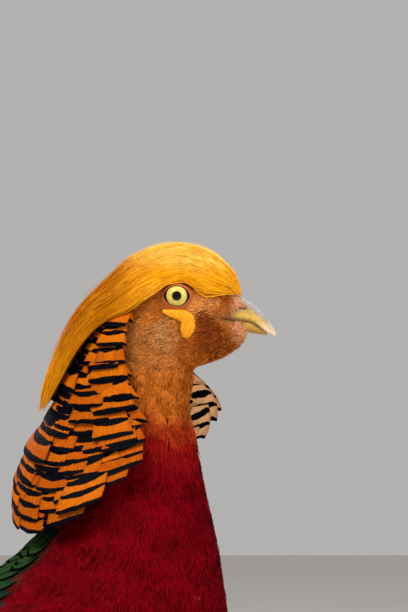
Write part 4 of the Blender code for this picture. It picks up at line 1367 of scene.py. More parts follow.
def make_rump():
    """Long golden hair-like feathers over the back, down to the root of the tail."""

    def shown(roots):
        off = math.pi - roots[:, TURN] + waves(roots[:, :3], 14, 8) * 0.10
        return (1 - smooth(off, 1.0, 1.25)) * smooth(-roots[:, 0], 80, 90) * (roots[:, LOW] < 0.5)

    roots = scatter(shown, 0.30)
    points, count = roots[:, :3], len(roots)
    colour = mix(GOLD_DEEP * 1.15, GOLD, patches(points, 7.0, 9, 0.45)) * factors(count, 0.1)
    room = np.maximum((points[:, 0] + 216) * 0.9, 6)
    length = np.minimum(RNG.uniform(15, 23, count), room)
    form = tuft_form(
        count, length, 0.55, waves(points, 30.0, 10) * 0.14, 4.6, blades=5, stations=5,
        fan=0.10, roll=0.15, bend=0.008, loose=0.35, curve=0.0, shade=(0.70, 1.15), vary=0.10,
    )
    coat("rump_feathers", roots, colour, form, SILK, "crest")


# Crest


def silk_colour(points, seed):
    """Gold in streaks along the crest; painted highlight on the crown, painted shade behind."""
    streak = patches(points * (0.15, 1, 0.15), 3.0, seed)
    x, z = points[..., 0], points[..., 2]
    crown_highlight = smooth(z, 365, 377)
    # Pale streaks, and a painted highlight on the crown where the light falls.
    colour = mix(GOLD, GOLD_PALE, streak * 0.15 + (0.4 + 0.45 * streak) * crown_highlight)
    # Painted shade towards the back of the crest, weaker at its far end and on the crown.
    behind = smooth(-x, 8, 32) * (1 - 0.7 * smooth(-x, 46, 60)) * (1 - 0.4 * crown_highlight)
    return mix(colour, GOLD_DEEP * (0.66 + 0.34 * streak)[..., None], behind * 0.84)


def clear_of_eye(points):
    """Points of the crest with its rim drawn up round the eye, seen from the side."""
    before, after, outer = 4.4, 6.3, 9.6
    gap = np.maximum(eye_gap(points), before)
    share = (outer - (outer - gap) * (outer - after) / (outer - before)) / gap
    share = np.where(gap < outer, share, 1.0)[..., None]
    return np.where((True, False, True), EYE_AT + (points - EYE_AT) * share, points)


def under_layer(surface, along, across, lift):
    """Points of a layer under a surface, and their places on its map."""
    u, phi = grid_of(np.linspace(*along), np.linspace(*across))
    return surface(u, phi, lift + 0 * u), np.stack((phi * 0.48 + 0.5, u * 0.98 + 0.01), -1)


def make_crest():
    """A silky crest: a golden under-layer and thousands of long strands."""
    points, uv = under_layer(crest_at, (0.0, 0.97, 60), (-0.97, 0.97, 41), -2.0)
    points = clear_of_eye(points)
    # The under-layer takes the crest's colour darkened, as painted shade under the strands.
    under = sheet_object("crest_under", points, uv, silk_colour(points, 11) * 0.72)
    dress(under, SILK, "crest", "crest")
    make_strands("crest_strands_1", 4600, 0.0)
    make_strands("crest_strands_2", 4600, 0.0)
    make_strands("crest_loose", 420, 1.0)


# How a strand narrows from its root to its tip.
STRAND_TAPER = (0.9, 1, 1, 0.95, 0.8, 0.5, 0.1)


def strand_lines(count, loose):
    """The middle lines of strands, the ways aside and out from them, and their root and phi."""
    front = count * 2 // 5
    root = np.concatenate((RNG.uniform(-0.02, 0.16, front), RNG.uniform(0.1, 0.68, count - front)))
    phi0 = RNG.uniform(-1.0, 1.0, count)
    reach = RNG.uniform(0.24, 0.46, count)
    reach = np.minimum(reach, 1.03 - root) * RNG.uniform(0.75, 1, count)
    clumps = np.sort(np.random.default_rng(5).uniform(-1.02, 1.02, 90))
    nearest = clumps[np.argmin(np.abs(phi0[:, None] - clumps[None]), 1)]
    s = np.linspace(0, 1, len(STRAND_TAPER))[None]
    pull = RNG.uniform(0.0, 0.5, count)[:, None]
    u = root[:, None] + reach[:, None] * s
    phi = phi0[:, None] + (nearest - phi0)[:, None] * pull * s**1.5
    rim = smooth(np.abs(phi0), 0.86, 1.0) * (1 - smooth(root, 0.25, 0.4))
    swing = RNG.normal(0, 1, (count, 1)) * (0.012 + 0.05 * loose + 0.045 * rim)[:, None]
    phi = phi + swing * np.sin(s * RNG.uniform(1.5, 4, (count, 1)))
    rear = smooth(root[:, None], 0.35, 0.6)
    deep = RNG.uniform(0.0, 1.0, count)[:, None] ** 1.4 * (1.3 + 2.2 * rear)
    depth = 2.4 * (1 - s) ** 3 + deep * (1 - (1 - s) ** 2) + RNG.normal(0, 0.10, (count, 1)) * s
    stand = (1 - smooth(root[:, None], 0.0, 0.12)) * 0.5 * np.sin(s * math.pi)
    lift = stand - depth - 0.15 + loose * RNG.uniform(0.6, 2.0, (count, 1)) * s**1.5
    limit = 1.12 - 0.07 * smooth(u, 0.16, 0.3)
    middle = crest_at(u, np.clip(phi, -limit, limit), lift)
    out = unit(crest_at(u, phi, lift + 1) - crest_at(u, phi, lift))
    side = unit(np.cross(unit(np.gradient(middle, axis=1)), out))
    return middle, side, out, root, phi0


def make_strands(name, count, loose):
    """Strands that flow over the head; loose ones stand off the rest."""
    middle, side, out, root, phi = strand_lines(count, loose)
    stations, ring = len(STRAND_TAPER), 3
    radius = RNG.uniform(0.12, 0.25, count) * (1 - 0.45 * loose)
    radius = radius[:, None, None] * np.array(STRAND_TAPER)[None, :, None]
    turns = full_turn(ring)
    points = [middle + (side * math.cos(b) * 1.2 + out * math.sin(b) * 0.8) * radius for b in turns]
    points = clear_of_eye(np.stack(points, 2))
    tint = silk_colour(points, 12) * factors(count, 0.07)[..., None, None]
    tint[RNG.uniform(0, 1, count) < 0.06] *= (0.82, 0.66, 0.6)
    # Painted shade along each strand: darker at the root, where the strands overlap, lighter towards
    # the tip.
    s = np.linspace(0, 1, stations)[:, None]
    tint = tint * (0.84 + 0.22 * s)[..., None]
    across = (phi * 0.47 + 0.5)[:, None, None] + np.linspace(-1, 1, ring) * 0.0012
    along = (np.clip(root, 0, 1) * 0.98 + 0.01)[:, None, None] + (s - 0.5) * 0.0024
    uv = np.stack(np.broadcast_arrays(across, along), -1)
    faces = [repeat_faces(grid_faces(stations, ring, wrap=True), count, stations * ring)]
    dress(make_object(name, points, faces, uv, tint), SILK, "crest")


# Cape

# How far down the cape's feathers reach, from its ridge to its edges.
CAPE_END = ((0.0, 1.0), (0.45, 1.02), (0.75, 0.94), (1.0, 0.78))
CAPE_OUTLINE = ((0, 0.25, 0.6, 0.9, 1), (0.5, 0.80, 0.95, 1.0, 0.99))
CAPE_FORM = (0.025, 0.006, 0.45)
# The first and the last tier, the share that a feather covers, and the room for each.
CAPE_TIERS = (-0.10, 0.88)
CAPE_REACH = 0.17
CAPE_ROOM = 9.0


def make_cape():
    """The barred cape: many tiers of broad feathers, each with dark bars at its tip."""
    batches = []
    v, last = CAPE_TIERS
    i = 0
    while v < last:
        past = max(v, 0)
        step = (0.030 + 0.022 * float(smooth(v, 0.1, 0.8))) * RNG.uniform(0.85, 1.15)
        reach = CAPE_REACH + 0.04 * past
        arc = 2 * across_cape(np.array([v + reach]), np.array([0.5]))[0]
        count = int(arc / (CAPE_ROOM * (1 + past)))
        phi = -1 + (2 * np.arange(count) + 1 + (i % 2 - 0.5)) / count
        phi = phi + RNG.normal(0, 0.25 / count, count)
        u0 = v + np.where(phi > 0, 0.05, -0.035) * past * phi**2 + RNG.normal(0, step * 0.12, count)
        end = np.interp(np.abs(phi), *zip(*CAPE_END))
        kept = u0 + reach < end + RNG.normal(0, 1, count) * (0.004 + 0.018 * np.abs(phi))
        kept &= (phi < 0.5) | (i % 2 == 0)
        batches += cape_tier(u0[kept], phi[kept], reach, past)
        v += step
        i += 1
    vane_pieces("cape_feathers", batches, cape_paint(), "cape", ("cape",))
    points, uv = under_layer(cape_at, (0, 0.82, 30), (-0.86, 0.70, 41), -5.4)
    # A dark sheet under the feathers: painted shade where they part.
    dress(sheet_object("cape_under", points, uv, (0.10, 0.022, 0.002)), DOWN, "cape")


def across_cape(v, phi):
    """Millimetres across the cape for one unit of phi."""
    return np.linalg.norm(slopes(cape_at, v, phi)[1], axis=-1)


def cape_lift(u0, phi):
    """Heights of a tier's feathers: calm near the ridge, with a few that stand off."""
    count = len(u0)
    near_ridge = (1 - smooth(np.abs(phi), 0.25, 0.6)) * (1 - smooth(u0, 0.4, 0.72))
    uneven = RNG.normal(0, 0.25, count) * (0.3 + 0.7 * smooth(u0, 0.1, 0.4))
    odd = RNG.uniform(0, 1, count)
    top = -0.3 + 0.8 * near_ridge + uneven
    top += np.where((phi < -0.55) & (odd < 0.15), 1.8, 0)
    top += np.where((np.abs(phi) < 0.25) & (np.abs(u0 - 0.45) < 0.2) & (odd > 0.86), 1.5, 0)
    return top, near_ridge


def cape_tier(u0, phi, reach, past):
    """The feathers of one tier, and the pale undersides of those that stand off on the left."""
    count = len(u0)
    half = RNG.uniform(8.2, 10.4, count) * (0.66 + 0.58 * past)
    limit = 1.0 - half * 0.8 / across_cape(u0 + reach, phi)
    phi = np.clip(phi, 0.05 - limit, limit)
    spread = np.sign(phi) * 0.8 * smooth(np.abs(phi), 0.62, 0.92)
    top, near_ridge = cape_lift(u0, phi)
    roots = (u0, phi, spread + RNG.normal(0, 1.1, count))
    length = reach * RNG.uniform(0.9, 1.1, count)

    def feathers(low_lift, high_lift):
        lifts = (low_lift, high_lift, 0.3)
        return vane_points(cape_at, roots, length, half, lifts, CAPE_OUTLINE, 8, 9, CAPE_FORM)

    before = RNG.bit_generator.state
    points, vane = feathers(top - 4.6, top)
    widen = 1 + 0.35 * near_ridge + RNG.uniform(-0.15, 0.25, count)
    vane[..., 1] /= widen[:, None, None]
    warm = RNG.uniform(0, 1, count)
    tint = mix((0.39, 0.072, 0.001), (0.54, 0.135, 0.002), warm) * factors(count, 0.07)
    batches = [(points, vane, tint)]
    far = phi > 0.5
    if far.any():
        after = RNG.bit_generator.state
        RNG.bit_generator.state = before
        points, _ = feathers(top - 4.85, top - 0.28)
        pale = UNDERSIDE * factors(count, 0.06)
        batches.append((points[far], vane[far], pale[far]))
        RNG.bit_generator.state = after
    return batches


# Mantle


def mantle_arc(t):
    """How far the green of the upper back reaches down from the ridge, at rib t."""
    return 0.52 + 0.36 * smooth(np.asarray(t, float), 5.2, 6.8)


def make_mantle():
    """Scalloped green feathers of the upper back, in tiers."""
    batches = []
    outline = ((0, 0.3, 0.7, 1), (0.5, 0.9, 1.0, 0.72))
    for i, root in enumerate(np.arange(4.55, 6.75, 0.17)):
        arc = mantle_arc(root)
        count = max(6, round((12 + i // 3) * arc / 1.2))
        angle = math.pi + arc * ((2 * np.arange(count) + 1 + (i % 2 - 0.5)) / count - 1)
        angle = angle + RNG.normal(0, 0.025, count)
        u0 = root + RNG.normal(0, 0.03, count)
        half = RNG.uniform(5.4, 6.6, count)
        top = 1.4 + RNG.normal(0, 0.2, count)
        roots = (u0, angle, RNG.normal(0, 0.8, count))
        length = 0.78 * RNG.uniform(0.9, 1.1, count)
        lifts = (top - 4.5, top, 0.3)
        form = (0.20, 0.012, 0.3)
        points, vane = vane_points(trunk_at, roots, length, half, lifts, outline, 7, 7, form)
        batches.append((points, vane, np.ones((count, 3))))
    vane_pieces("mantle_feathers", batches, scale_paint(), "wing")


# Wings

# Tiers of the folded wing: roots' p, tips' p at the low and the high side, q at the root and
# at the tip, rows and feathers across, height, half width, and the name.
WING_TIERS = (
    (95, 190, 207, -20, -8, -13, -4, 1, 7, 1.0, 3.4, "primary"),
    (60, 146, 178, -22, 20, -17, 15, 1, 15, 2.6, 4.8, "secondary"),
    (62, 138, 166, 9, 36, 6, 27, 2, 4, 3.0, 7.0, "tertial"),
    (40, 84, 98, -23, 36, -23, 37, 2, 9, 4.0, 5.4, "greater"),
    (16, 48, 66, -18, 29, -23, 35, 4, 8, 4.8, 5.2, "median"),
    (1, 20, 36, -9, 18, -15, 25, 5, 8, 5.4, 4.6, "lesser"),
)
# Their colours: pale and dark ground, step and share of the bars, and how glossy it is.
QUILLS = {
    "primary": ((0.20, 0.095, 0.040), (0.07, 0.032, 0.016), 7.0, 0.45),
    "secondary": ((0.17, 0.052, 0.018), (0.06, 0.018, 0.008), 6.0, 0.5),
    "tertial": ((0.010, 0.045, 0.24), (0.002, 0.006, 0.045), 60.0, 0.03, 0.4, 0.2),
    "greater": ((0.16, 0.028, 0.010), (0.06, 0.008, 0.004), 9.0, 0.30),
    "median": ((0.15, 0.012, 0.007), (0.055, 0.003, 0.002), 11.0, 0.16),
    "lesser": ((0.16, 0.006, 0.006), (0.06, 0.002, 0.003), 13.0, 0.08),
}
COVERTS = ("greater", "median", "lesser")
# Where the feathers of the wing may begin: q across it, and p from its bend.
WING_ONSET = ((-25, 64), (-20, 36), (-14, 21), (-5, 12), (6, 8), (18, 13), (27, 25), (34, 40))
WING_SHORTEST = 9
WING_OUTLINES = {
    "long": ((0, 0.15, 0.6, 0.88, 1), (0.6, 0.9, 1.0, 0.85, 0.35)),
    "round": ((0, 0.2, 0.55, 0.85, 1), (0.5, 0.85, 1.0, 0.92, 0.62)),
}


def make_wings():
    """The folded wings, tier over tier."""
    paints = {kind: quill_paint(kind, *look) for kind, look in QUILLS.items()}
    for side in SIDES:
        for i, tier in enumerate(WING_TIERS):
            nodes = () if i else (f"wing_{WORDS[side]}",)
            make_wing_tier(side, tier, paints[tier[-1]], nodes)
        make_wing_core(side)
        make_wing_skirt(side)


def make_wing_tier(side, tier, paint, nodes):
    """One tier of the wing's feathers, in rows that lie over each other."""
    root, tip_low, tip_high, low, high, end_low, end_high, rows, across, height, half, kind = tier
    covert = kind in COVERTS
    outline = WING_OUTLINES["round" if covert else "long"]
    form = (0.16, 0.008, 0.4) if covert else (0.05, 0.008, 0.25)
    batches = []
    for row in range(rows):
        under = rows - 1 - row
        stagger = 0.25 * (row % 2 * 2 - 1) * (rows > 1)
        share = (np.arange(across) + 0.5 + stagger) / across
        back = under * (tip_low - root) * 0.24
        bow = 5.0 * (1 - (2 * share - 1) ** 2) if covert else 0
        tip = tip_low + (tip_high - tip_low) * share - back + bow
        tip = tip + RNG.normal(0, 1.4 if covert else 0.8, across)
        q0 = low + (high - low) * share
        start = np.maximum(max(root - back * 0.6, 1.0), np.interp(q0, *zip(*WING_ONSET)))
        q1 = end_low + (end_high - end_low) * share + RNG.normal(0, 0.7, across)
        top = height + 0.45 * under + np.linspace(0, 0.8, across) + RNG.normal(0, 0.12, across)
        kept = tip - start > WING_SHORTEST
        start, tip, q0, q1, top = (each[kept] for each in (start, tip, q0, q1, top))
        halves = np.full(len(start), float(half))
        roots, lifts = (start, q0, q1 - q0), (top - 3.5, top, 0.5)
        points, vane = vane_points(
            wing_at(side), roots, tip - start, halves, lifts, outline, 12, 7, form
        )
        batches.append((points, vane, np.ones((1, 3)) * factors(len(start), 0.12)))
    vane_pieces(f"wing_{kind}_{WORDS[side]}", batches, paint, "wing", nodes)


# Outline of the wing's front, from below over the bend to above: p and q.
WING_FRONT = (
    (92, -25),
    (66, -25),
    (40, -23),
    (16, -16),
    (4, -5),
    (2, 6),
    (8, 19),
    (24, 30),
    (48, 38),
    (72, 41),
    (98, 40),
)


def skirt_points(side):
    """A sheet on the slope from the body up to the front of the wing."""
    rows, cols = 90, 9
    p, q = columns(WING_FRONT, np.linspace(0, len(WING_FRONT) - 1, rows))
    way = unit(np.stack((np.gradient(p), np.gradient(q)), -1))
    r = np.linspace(-7.0, 12.0, cols)[None]
    p = p[:, None] - way[:, 1:] * r
    q = q[:, None] + way[:, :1] * r
    ends = np.minimum(1, np.minimum(np.arange(rows), np.arange(rows)[::-1]) / 12)[:, None]
    wing = wing_at(side)(np.maximum(p, 0), q, 5.6 * ends + 0 * r)
    x, z = wing_at(side)(p, q, 0 * p)[..., (0, 2)].transpose(2, 0, 1)
    share = smooth(r + 0 * p, -4.5, 9.0)
    y = np.abs(wing[..., 1]) * (1 - share) + (skin_half(x, z) + 0.6) * share - 0.8
    return np.stack((x, side * y, z), -1)


def make_wing_skirt(side):
    """Body feathers that lap over the front of the wing."""
    points = skirt_points(side)
    rows, cols = points.shape[:2]
    normals = unit(np.cross(np.gradient(points, axis=0), np.gradient(points, axis=1)))
    normals *= np.sign(normals[..., 1:2] * side)
    felt = felt_at(points.reshape(-1, 3)).reshape(rows, cols, 5)
    v, u = grid_of(np.linspace(0.02, 0.98, rows), np.linspace(0.02, 0.98, cols))
    uv = np.stack((u, v), -1)
    # The sheet takes the plumage's colour darkened, as painted shade under the tufts.
    tint = plumage(points, felt[..., 3], felt[..., 4]) * 0.8
    word = WORDS[side]
    dress(sheet_object(f"wing_skirt_{word}", points, uv, tint), SKIN, "red")
    ground = grid_ground(points, normals, felt, uv)
    roots = scatter(lambda middle: np.ones(len(middle)), 0.34, ground)
    colour, form = body_form(roots)
    form["length"] *= 0.85
    form["depth"] *= 0.65
    coat(f"wing_skirt_feathers_{word}", roots, colour, form, DOWN, "red")


def make_wing_core(side):
    """The smooth mass under the wing's feathers."""
    share, a = grid_of(np.linspace(0, 0.78, 24), np.linspace(0, math.pi, 24))
    p, low_q, high_q, height = columns(WING_ROWS, share * (len(WING_ROWS) - 1))
    middle, half = (low_q + high_q) / 2, (high_q - low_q) / 2 - 3
    lift = np.sin(a) * height * 0.40 - 2.0 - 3.0 * (1 - smooth(p, 6, 30))
    points = wing_at(side)(p, middle + half * np.cos(a), lift)
    uv = map_places(a / math.pi, share)
    dress(sheet_object(f"wing_core_{WORDS[side]}", points, uv, (0.10, 0.02, 0.01)), DOWN, "wing")


# Tail


def make_tail():
    """The tail's nested pairs, its mass at the root, and the red coverts beside it."""
    batches = []
    for k, (length, half) in enumerate(TAIL_PAIRS):
        for side in SIDES:
            points, vane = tail_vane(length, side, 0.3 + TAIL_SPREAD * k, half, -TAIL_STACK * k)
            batches.append((points, vane, np.full((1, 3), float(k == 0))))
    vane_pieces("tail_feathers", batches, tail_paint(), "tail", ("tail",))
    make_tail_root()
    make_tail_coverts()


# Share of a tail feather's half width along it, and where the feathers start.
TAIL_OUTLINE = ((0, 0.12, 0.3, 0.72, 0.88, 1), (0.22, 0.8, 1.0, 0.74, 0.5, 0.05))
TAIL_START = 6.0


def tail_vane(length, side, inner, half, height):
    """One feather of the tail, beside the middle line; its tip slants to a point."""
    rows, cols = max(14, int(length / 14)), 9
    share = np.linspace(0, 1, rows)[None, :, None]
    k = np.linspace(-1, 1, cols)[None, None]
    s = TAIL_START + (length - TAIL_START) * share
    wide = half * np.interp(share, *TAIL_OUTLINE)
    inside = 0.3 + (inner - 0.3) * np.minimum(1, s / 120)
    y = side * (inside + wide) + k * wide
    slant = 10.0 * np.abs(k) * smooth(share, 0.7, 1.0)
    fray = RNG.normal(0, 0.10, (1, rows, cols)) * (np.abs(k) == 1)
    points = tail_at(s - slant + fray, y, np.full(s.shape, height) + 0.35 - 0.25 * k * k)
    vane = np.stack(np.broadcast_arrays(k, length - s + slant, RNG.uniform(0, 1)), -1)
    return points, vane


def make_tail_root():
    """The mass that carries the tail."""
    t, a = grid_of(np.linspace(0, 3, 16), full_turn(28))
    s, half, top, bottom = columns(TAIL_CORE, t)
    x, z, _ = tail_axis(s)
    arm = (top - bottom) / 2 - 0.8
    points = np.stack((x, (half - 0.8) * np.sin(a), z + (top + bottom) / 2 + arm * np.cos(a)), -1)
    tint = mix(GOLD_DEEP, CRIMSON * 1.6, smooth(np.abs(np.sin(a)), 0.5, 0.9))
    tint = mix(tint, VENT, smooth(-np.cos(a), 0.2, 0.7))
    uv = map_places(a / (2 * math.pi), t / 3)
    faces = ring_faces(*points.shape[:2], True)
    dress(make_object("tail_root", points, faces, uv, tint), SKIN, "tail")
    clad_tail_root(points, np.stack((0 * a, np.sin(a), np.cos(a)), -1), uv)


def clad_tail_root(points, normals, uv):
    """Hair-like feathers on the mass at the tail's root: gold above, red beside, dark below."""
    felt = np.zeros(points.shape[:2] + (5,))
    felt[..., 0], felt[..., 2] = -1.0, -0.12
    ground = grid_ground(points, normals, felt, uv, wrap=True)
    roots = scatter(lambda middle: 1.0 * (middle[:, 0] > -258), 0.45, ground)
    count = len(roots)
    lean = unit(roots[:, 3:6])
    gold = mix(GOLD_DEEP * 1.15, GOLD, patches(roots[:, :3], 7.0, 9, 0.45))
    colour = mix(gold, SCARLET, smooth(np.abs(lean[:, 1]), 0.62, 0.86))
    colour = mix(colour, VENT, smooth(-lean[:, 2], 0.2, 0.7)) * factors(count, 0.1)
    length = RNG.uniform(17, 27, count)
    form = tuft_form(
        count, length, 0.6, RNG.normal(0, 0.06, count), 1.9, blades=5, stations=5,
        fan=0.09, roll=0.15, bend=0.006, loose=0.3, curve=0.0, shade=(0.70, 1.15), vary=0.10,
    )
    coat("tail_root_feathers", roots, colour, form, SILK, "tail")


def make_tail_coverts():
    """Narrow scarlet and gold coverts that run beside the root of the tail."""
    batches = []
    outline = ((0, 0.2, 0.6, 1), (0.5, 1.0, 0.95, 0.1))
    form = (0.0, 0.002, 0.2)
    for side in SIDES:
        for k, whole in enumerate(COVERT_LENGTHS):
            for extra in range(3):
                start, length = 2.0 + 5 * extra, whole * (1 - 0.16 * extra)
                y0 = 2.4 + 4.6 * k * 0.25
                y1 = 2.4 + 4.6 * k + 1.2 * (extra - 1)
                values = (start, side * y0, side * (y1 - y0), length - start, 2.6)
                *roots, run, half = np.array(values)[:, None]
                lifts = (np.array([3.6 + 0.4 * extra]), np.array([1.7 + 0.45 * extra]), 0.4)
                points, vane = vane_points(tail_at, roots, run, half, lifts, outline, 14, 5, form)
                red = mix((0.62, 0.05, 0.006), (0.85, 0.24, 0.015), [RNG.uniform(0, 1)])
                batches.append((points, vane, red))
    paint = quill_paint("tail_covert", (1.0, 1.0, 1.0), (0.55, 0.5, 0.5), 90.0, 0.02, 0.42)
    vane_pieces("tail_coverts", batches, paint, "tail")


# Head details

# Section of the lids: shares of the opening, and heights over the eyeball or the face.
LID_PROFILE = (
    (0.985, -0.15),
    (1.01, 0.22),
    (1.05, 0.48),
    (1.10, 0.62),
    (1.17, 0.74),
    (1.25, 0.68),
    (1.33, 0.72),
    (1.41, 0.60),
    (1.50, 0.52),
    (1.60, 0.30),
    (1.72, 0.05),
    (1.85, -0.40),
)


@np.vectorize
def skin_half(x, z):
    """Half the width of the skin at a point seen from the side."""
    start = Vector(np.array((x, -60.0, z)) * MM + ORIGIN)
    hit = SKIN_TREE.ray_cast(start, Vector((0, 1, 0)))[0]
    return -(hit.y - ORIGIN[1]) / MM if hit is not None else 0.0


def make_eyes():
    """Eyeballs with a domed cornea; the iris is drawn by distance from the axis."""
    paint = iris_paint()
    theta, turn = grid_of(np.linspace(0, math.pi, 40), full_turn(64))
    flat = EYE_RADIUS * np.sin(theta)
    ahead = np.cos(theta) > 0
    out = EYE_RADIUS * np.cos(theta) + 0.35 * (1 - smooth(flat, 2.5, 5.2)) * ahead - 0.1
    vane = np.stack((np.where(ahead, flat, 9), turn / (2 * math.pi), 0 * flat), -1)
    uv = disc_places(turn, theta / math.pi)
    for side, word in WORDS.items():
        points = np.stack((flat * np.cos(turn), side * out, flat * np.sin(turn)), -1)
        made = ring_object(f"eyeball_{word}", points + EYE_AT * (1, side, 1), uv, None, vane)
        dress(made, paint, "iris", f"eye_{word}")


def lid_points():
    """Points of the lids about the middle of an eyeball, from its rim out into the face.

    The other results are each point's share of the opening and its angle.
    """
    share, theta = grid_of([row[0] for row in LID_PROFILE], full_turn(112))
    rise = np.array([row[1] for row in LID_PROFILE])[:, None]
    wide, tall = LID_OPENING
    x = share * wide * np.cos(theta) * (1 + 0.07 * np.abs(np.cos(theta)) ** 8)
    z = share * tall * np.sin(theta)
    ball = np.sqrt(np.maximum(EYE_RADIUS**2 - x * x - z * z, 4))
    face = skin_half(EYE_AT[0] + x, EYE_AT[2] + z) - EYE_AT[1]
    blend = smooth(share, 1.10, 1.7)
    wrinkle = 0.13 * np.sin(theta * 30 + share * 11 + 2 * np.sin(3 * theta)) * (share > 1.1)
    y = ball * (1 - blend) + np.maximum(face, 0) * blend + rise + wrinkle
    return np.stack((x, y, z), -1), share, theta


def make_lids():
    """The lids of both eyes: a dark rim, then wrinkled orange skin that fades into the face."""
    points, share, theta = lid_points()
    tint = mix((0.006, 0.004, 0.004), (0.62, 0.155, 0.030), smooth(share, 1.04, 1.11))
    # Painted shade in rings of grooves over the lids.
    groove_shade = np.clip(np.sin(share * 42 + 3 * np.sin(2 * theta)) * 0.5 + 0.5, 0, 1)
    tint = mix(tint, tint * 0.55, groove_shade * 0.5)
    tint = mix(tint, (0.22, 0.045, 0.010), smooth(share, 1.40, 1.62) * 0.8)
    uv = disc_places(theta, share / 1.95)
    for side, word in WORDS.items():
        made = ring_object(f"lid_{word}", (points + EYE_AT) * (1, side, 1), uv, tint)
        dress(made, BARE, "face")


def make_wattles():
    """The small orange-yellow lappet under each eye."""
    rows, cols = 36, 28
    x, z, radius = columns(WATTLE_PATH, np.linspace(0, len(WATTLE_PATH) - 1, rows))[..., None]
    way = unit(np.concatenate((np.gradient(x, axis=0), np.gradient(z, axis=0)), -1))
    along, a = grid_of(np.linspace(0, 1, rows), full_turn(cols))
    x = x - way[:, 1:] * radius * np.cos(a)
    z = z + way[:, :1] * radius * np.cos(a)
    bulge = np.sin(a) * np.minimum(1.5, 0.35 + radius * 0.36) + 0.35
    half = skin_half(x, z) + bulge
    uv = map_places(a / (2 * math.pi), along)
    for side, word in WORDS.items():
        points = np.stack((x, side * half, z), -1)
        points[..., 1] += side * waves(points, 1.1, 14) * 0.16
        tint = mix((0.84, 0.23, 0.001), (1.0, 0.43, 0.004), patches(points, 1.3, 15))
        dress(ring_object(f"wattle_{word}", points, uv, tint, ends=True), BARE, "face")


def bill_colour(points, upper):
    """Horn of the bill: bluish ridge with a painted highlight, yellowish sides, pale tip."""
    x, _, z = np.moveaxis(points, -1, 0)
    if not upper:
        base = mix((0.50, 0.17, 0.035), (0.44, 0.24, 0.020), smooth(x, 23, 29))
        ledge = smooth(z - bill_value(BILL_LOWER, x, 2), 2.6, 4.2)
        base = mix(base, (0.62, 0.32, 0.035), ledge * 0.8)
        return mix(base, (0.40, 0.17, 0.02), smooth(x, 35, 39) * 0.6)
    under_top = bill_value(BILL_UPPER, x, 1) - z
    low = z - bill_value(BILL_UPPER, x, 2)
    rough = waves(points, 2.6, 18)
    side = mix((0.40, 0.13, 0.035), (0.55, 0.34, 0.045), smooth(x + rough * 0.8, 22.5, 28))
    side = mix(side, (0.22, 0.16, 0.11), smooth(low + rough * 0.4, 3.4, 5.6) * 0.55)
    ridge = 1 - smooth(under_top + rough * 0.3, 1.2, 3.6)
    colour = mix(side, (0.30, 0.29, 0.33), ridge * smooth(x, 24, 28) * 0.9)
    # A painted highlight along the top of the ridge.
    crest = (1 - smooth(under_top, 0.1, 0.7)) * smooth(x, 26, 29)
    colour = mix(colour, (0.62, 0.56, 0.56), crest * 0.6)
    pale = smooth(x + 0.35 * (346 - z), 34.5, 38.5) * (1 - smooth(low, 1.0, 3.2))
    colour = mix(colour, (0.72, 0.52, 0.38), np.maximum(pale, smooth(x, 39.5, 42.5)) * 0.9)
    edge = (1 - smooth(low, 0.10, 0.45)) * (1 - smooth(x, 36, 39))
    return mix(colour, (0.10, 0.045, 0.015), edge * 0.85)


def make_bill():
    """The bill: finely rounded halves, and a flap over each nostril."""
    rows, cols = 34, 26
    for name, table in (("bill_upper", BILL_UPPER), ("bill_lower", BILL_LOWER)):
        upper = table is BILL_UPPER
        along, a = grid_of(np.linspace(0, 1, rows), np.linspace(0, math.pi, cols))
        x, top, bottom, half = columns(table, along * (len(table) - 1))
        flat, ridge = (bottom, top) if upper else (top, bottom)
        y = half * np.sign(np.cos(a)) * np.abs(np.cos(a)) ** 0.8
        z = flat + (ridge - flat) * np.sin(a) ** 0.75
        points = np.stack((x, y, z), -1)
        points[..., 2] += waves(points * (1, 0.2, 1), 2.2, 16) * 0.05
        uv, tint = map_places(a / math.pi, along), bill_colour(points, upper)
        dress(ring_object(f"{name}_horn", points, uv, tint, ends=True), HORN, "horn", name)
    for side in SIDES:
        make_nostril(side)


def make_nostril(side):
    """A soft flap with a dark slit of painted shade under it, on the side of the upper bill."""
    middle, size = np.array((27.4, 4.45, 352.6)), np.array((3.4, 1.1, 1.5))
    theta, a = grid_of(np.linspace(0, math.pi, 16), full_turn(24))
    around = np.sin(theta)
    points = np.stack((np.cos(theta), around * np.cos(a), around * np.sin(a)), -1) * size
    points[..., 2] -= 0.10 * points[..., 0]
    points = (points + middle) * (1, side, 1)
    x, _, z = np.moveaxis(points, -1, 0)
    # Painted shade in the slit under the flap.
    slit = 1 - smooth(np.abs(z - (middle[2] - 1.2)), 0.1, 0.55)
    slit = slit * (1 - smooth(np.abs(x - 28.0), 1.6, 2.8))
    tint = mix((0.45, 0.15, 0.03), (0.24, 0.09, 0.04), patches(points, 1.2, 21))
    tint = mix(tint, (0.02, 0.012, 0.008), slit)
    uv = map_places(a / (2 * math.pi), theta / math.pi)
    dress(ring_object(f"nostril_{WORDS[side]}", points, uv, tint), HORN, "horn")


# Feet


def scutes(step, depth, front):
    """Overlapping plates down the front of a limb: their height, and their colour."""

    def lift(t, a):
        saw = 1 - np.mod(t / step, 1)
        facing = smooth(np.cos(a - front), 0.1, 0.6)
        return depth * saw * (0.25 + 0.75 * facing) - depth * 0.5

    def tint(t, a, points):
        colour = mix((0.36, 0.23, 0.09), (0.56, 0.41, 0.18), patches(points, 8.0, 17))
        # Painted shade in the groove where each plate meets the next, on the front.
        groove_shade = smooth(np.mod(t / step, 1), 0.72, 0.95) * smooth(np.cos(a - front), 0.0, 0.4)
        return colour * (1 - 0.6 * groove_shade)[..., None]

    return lift, tint


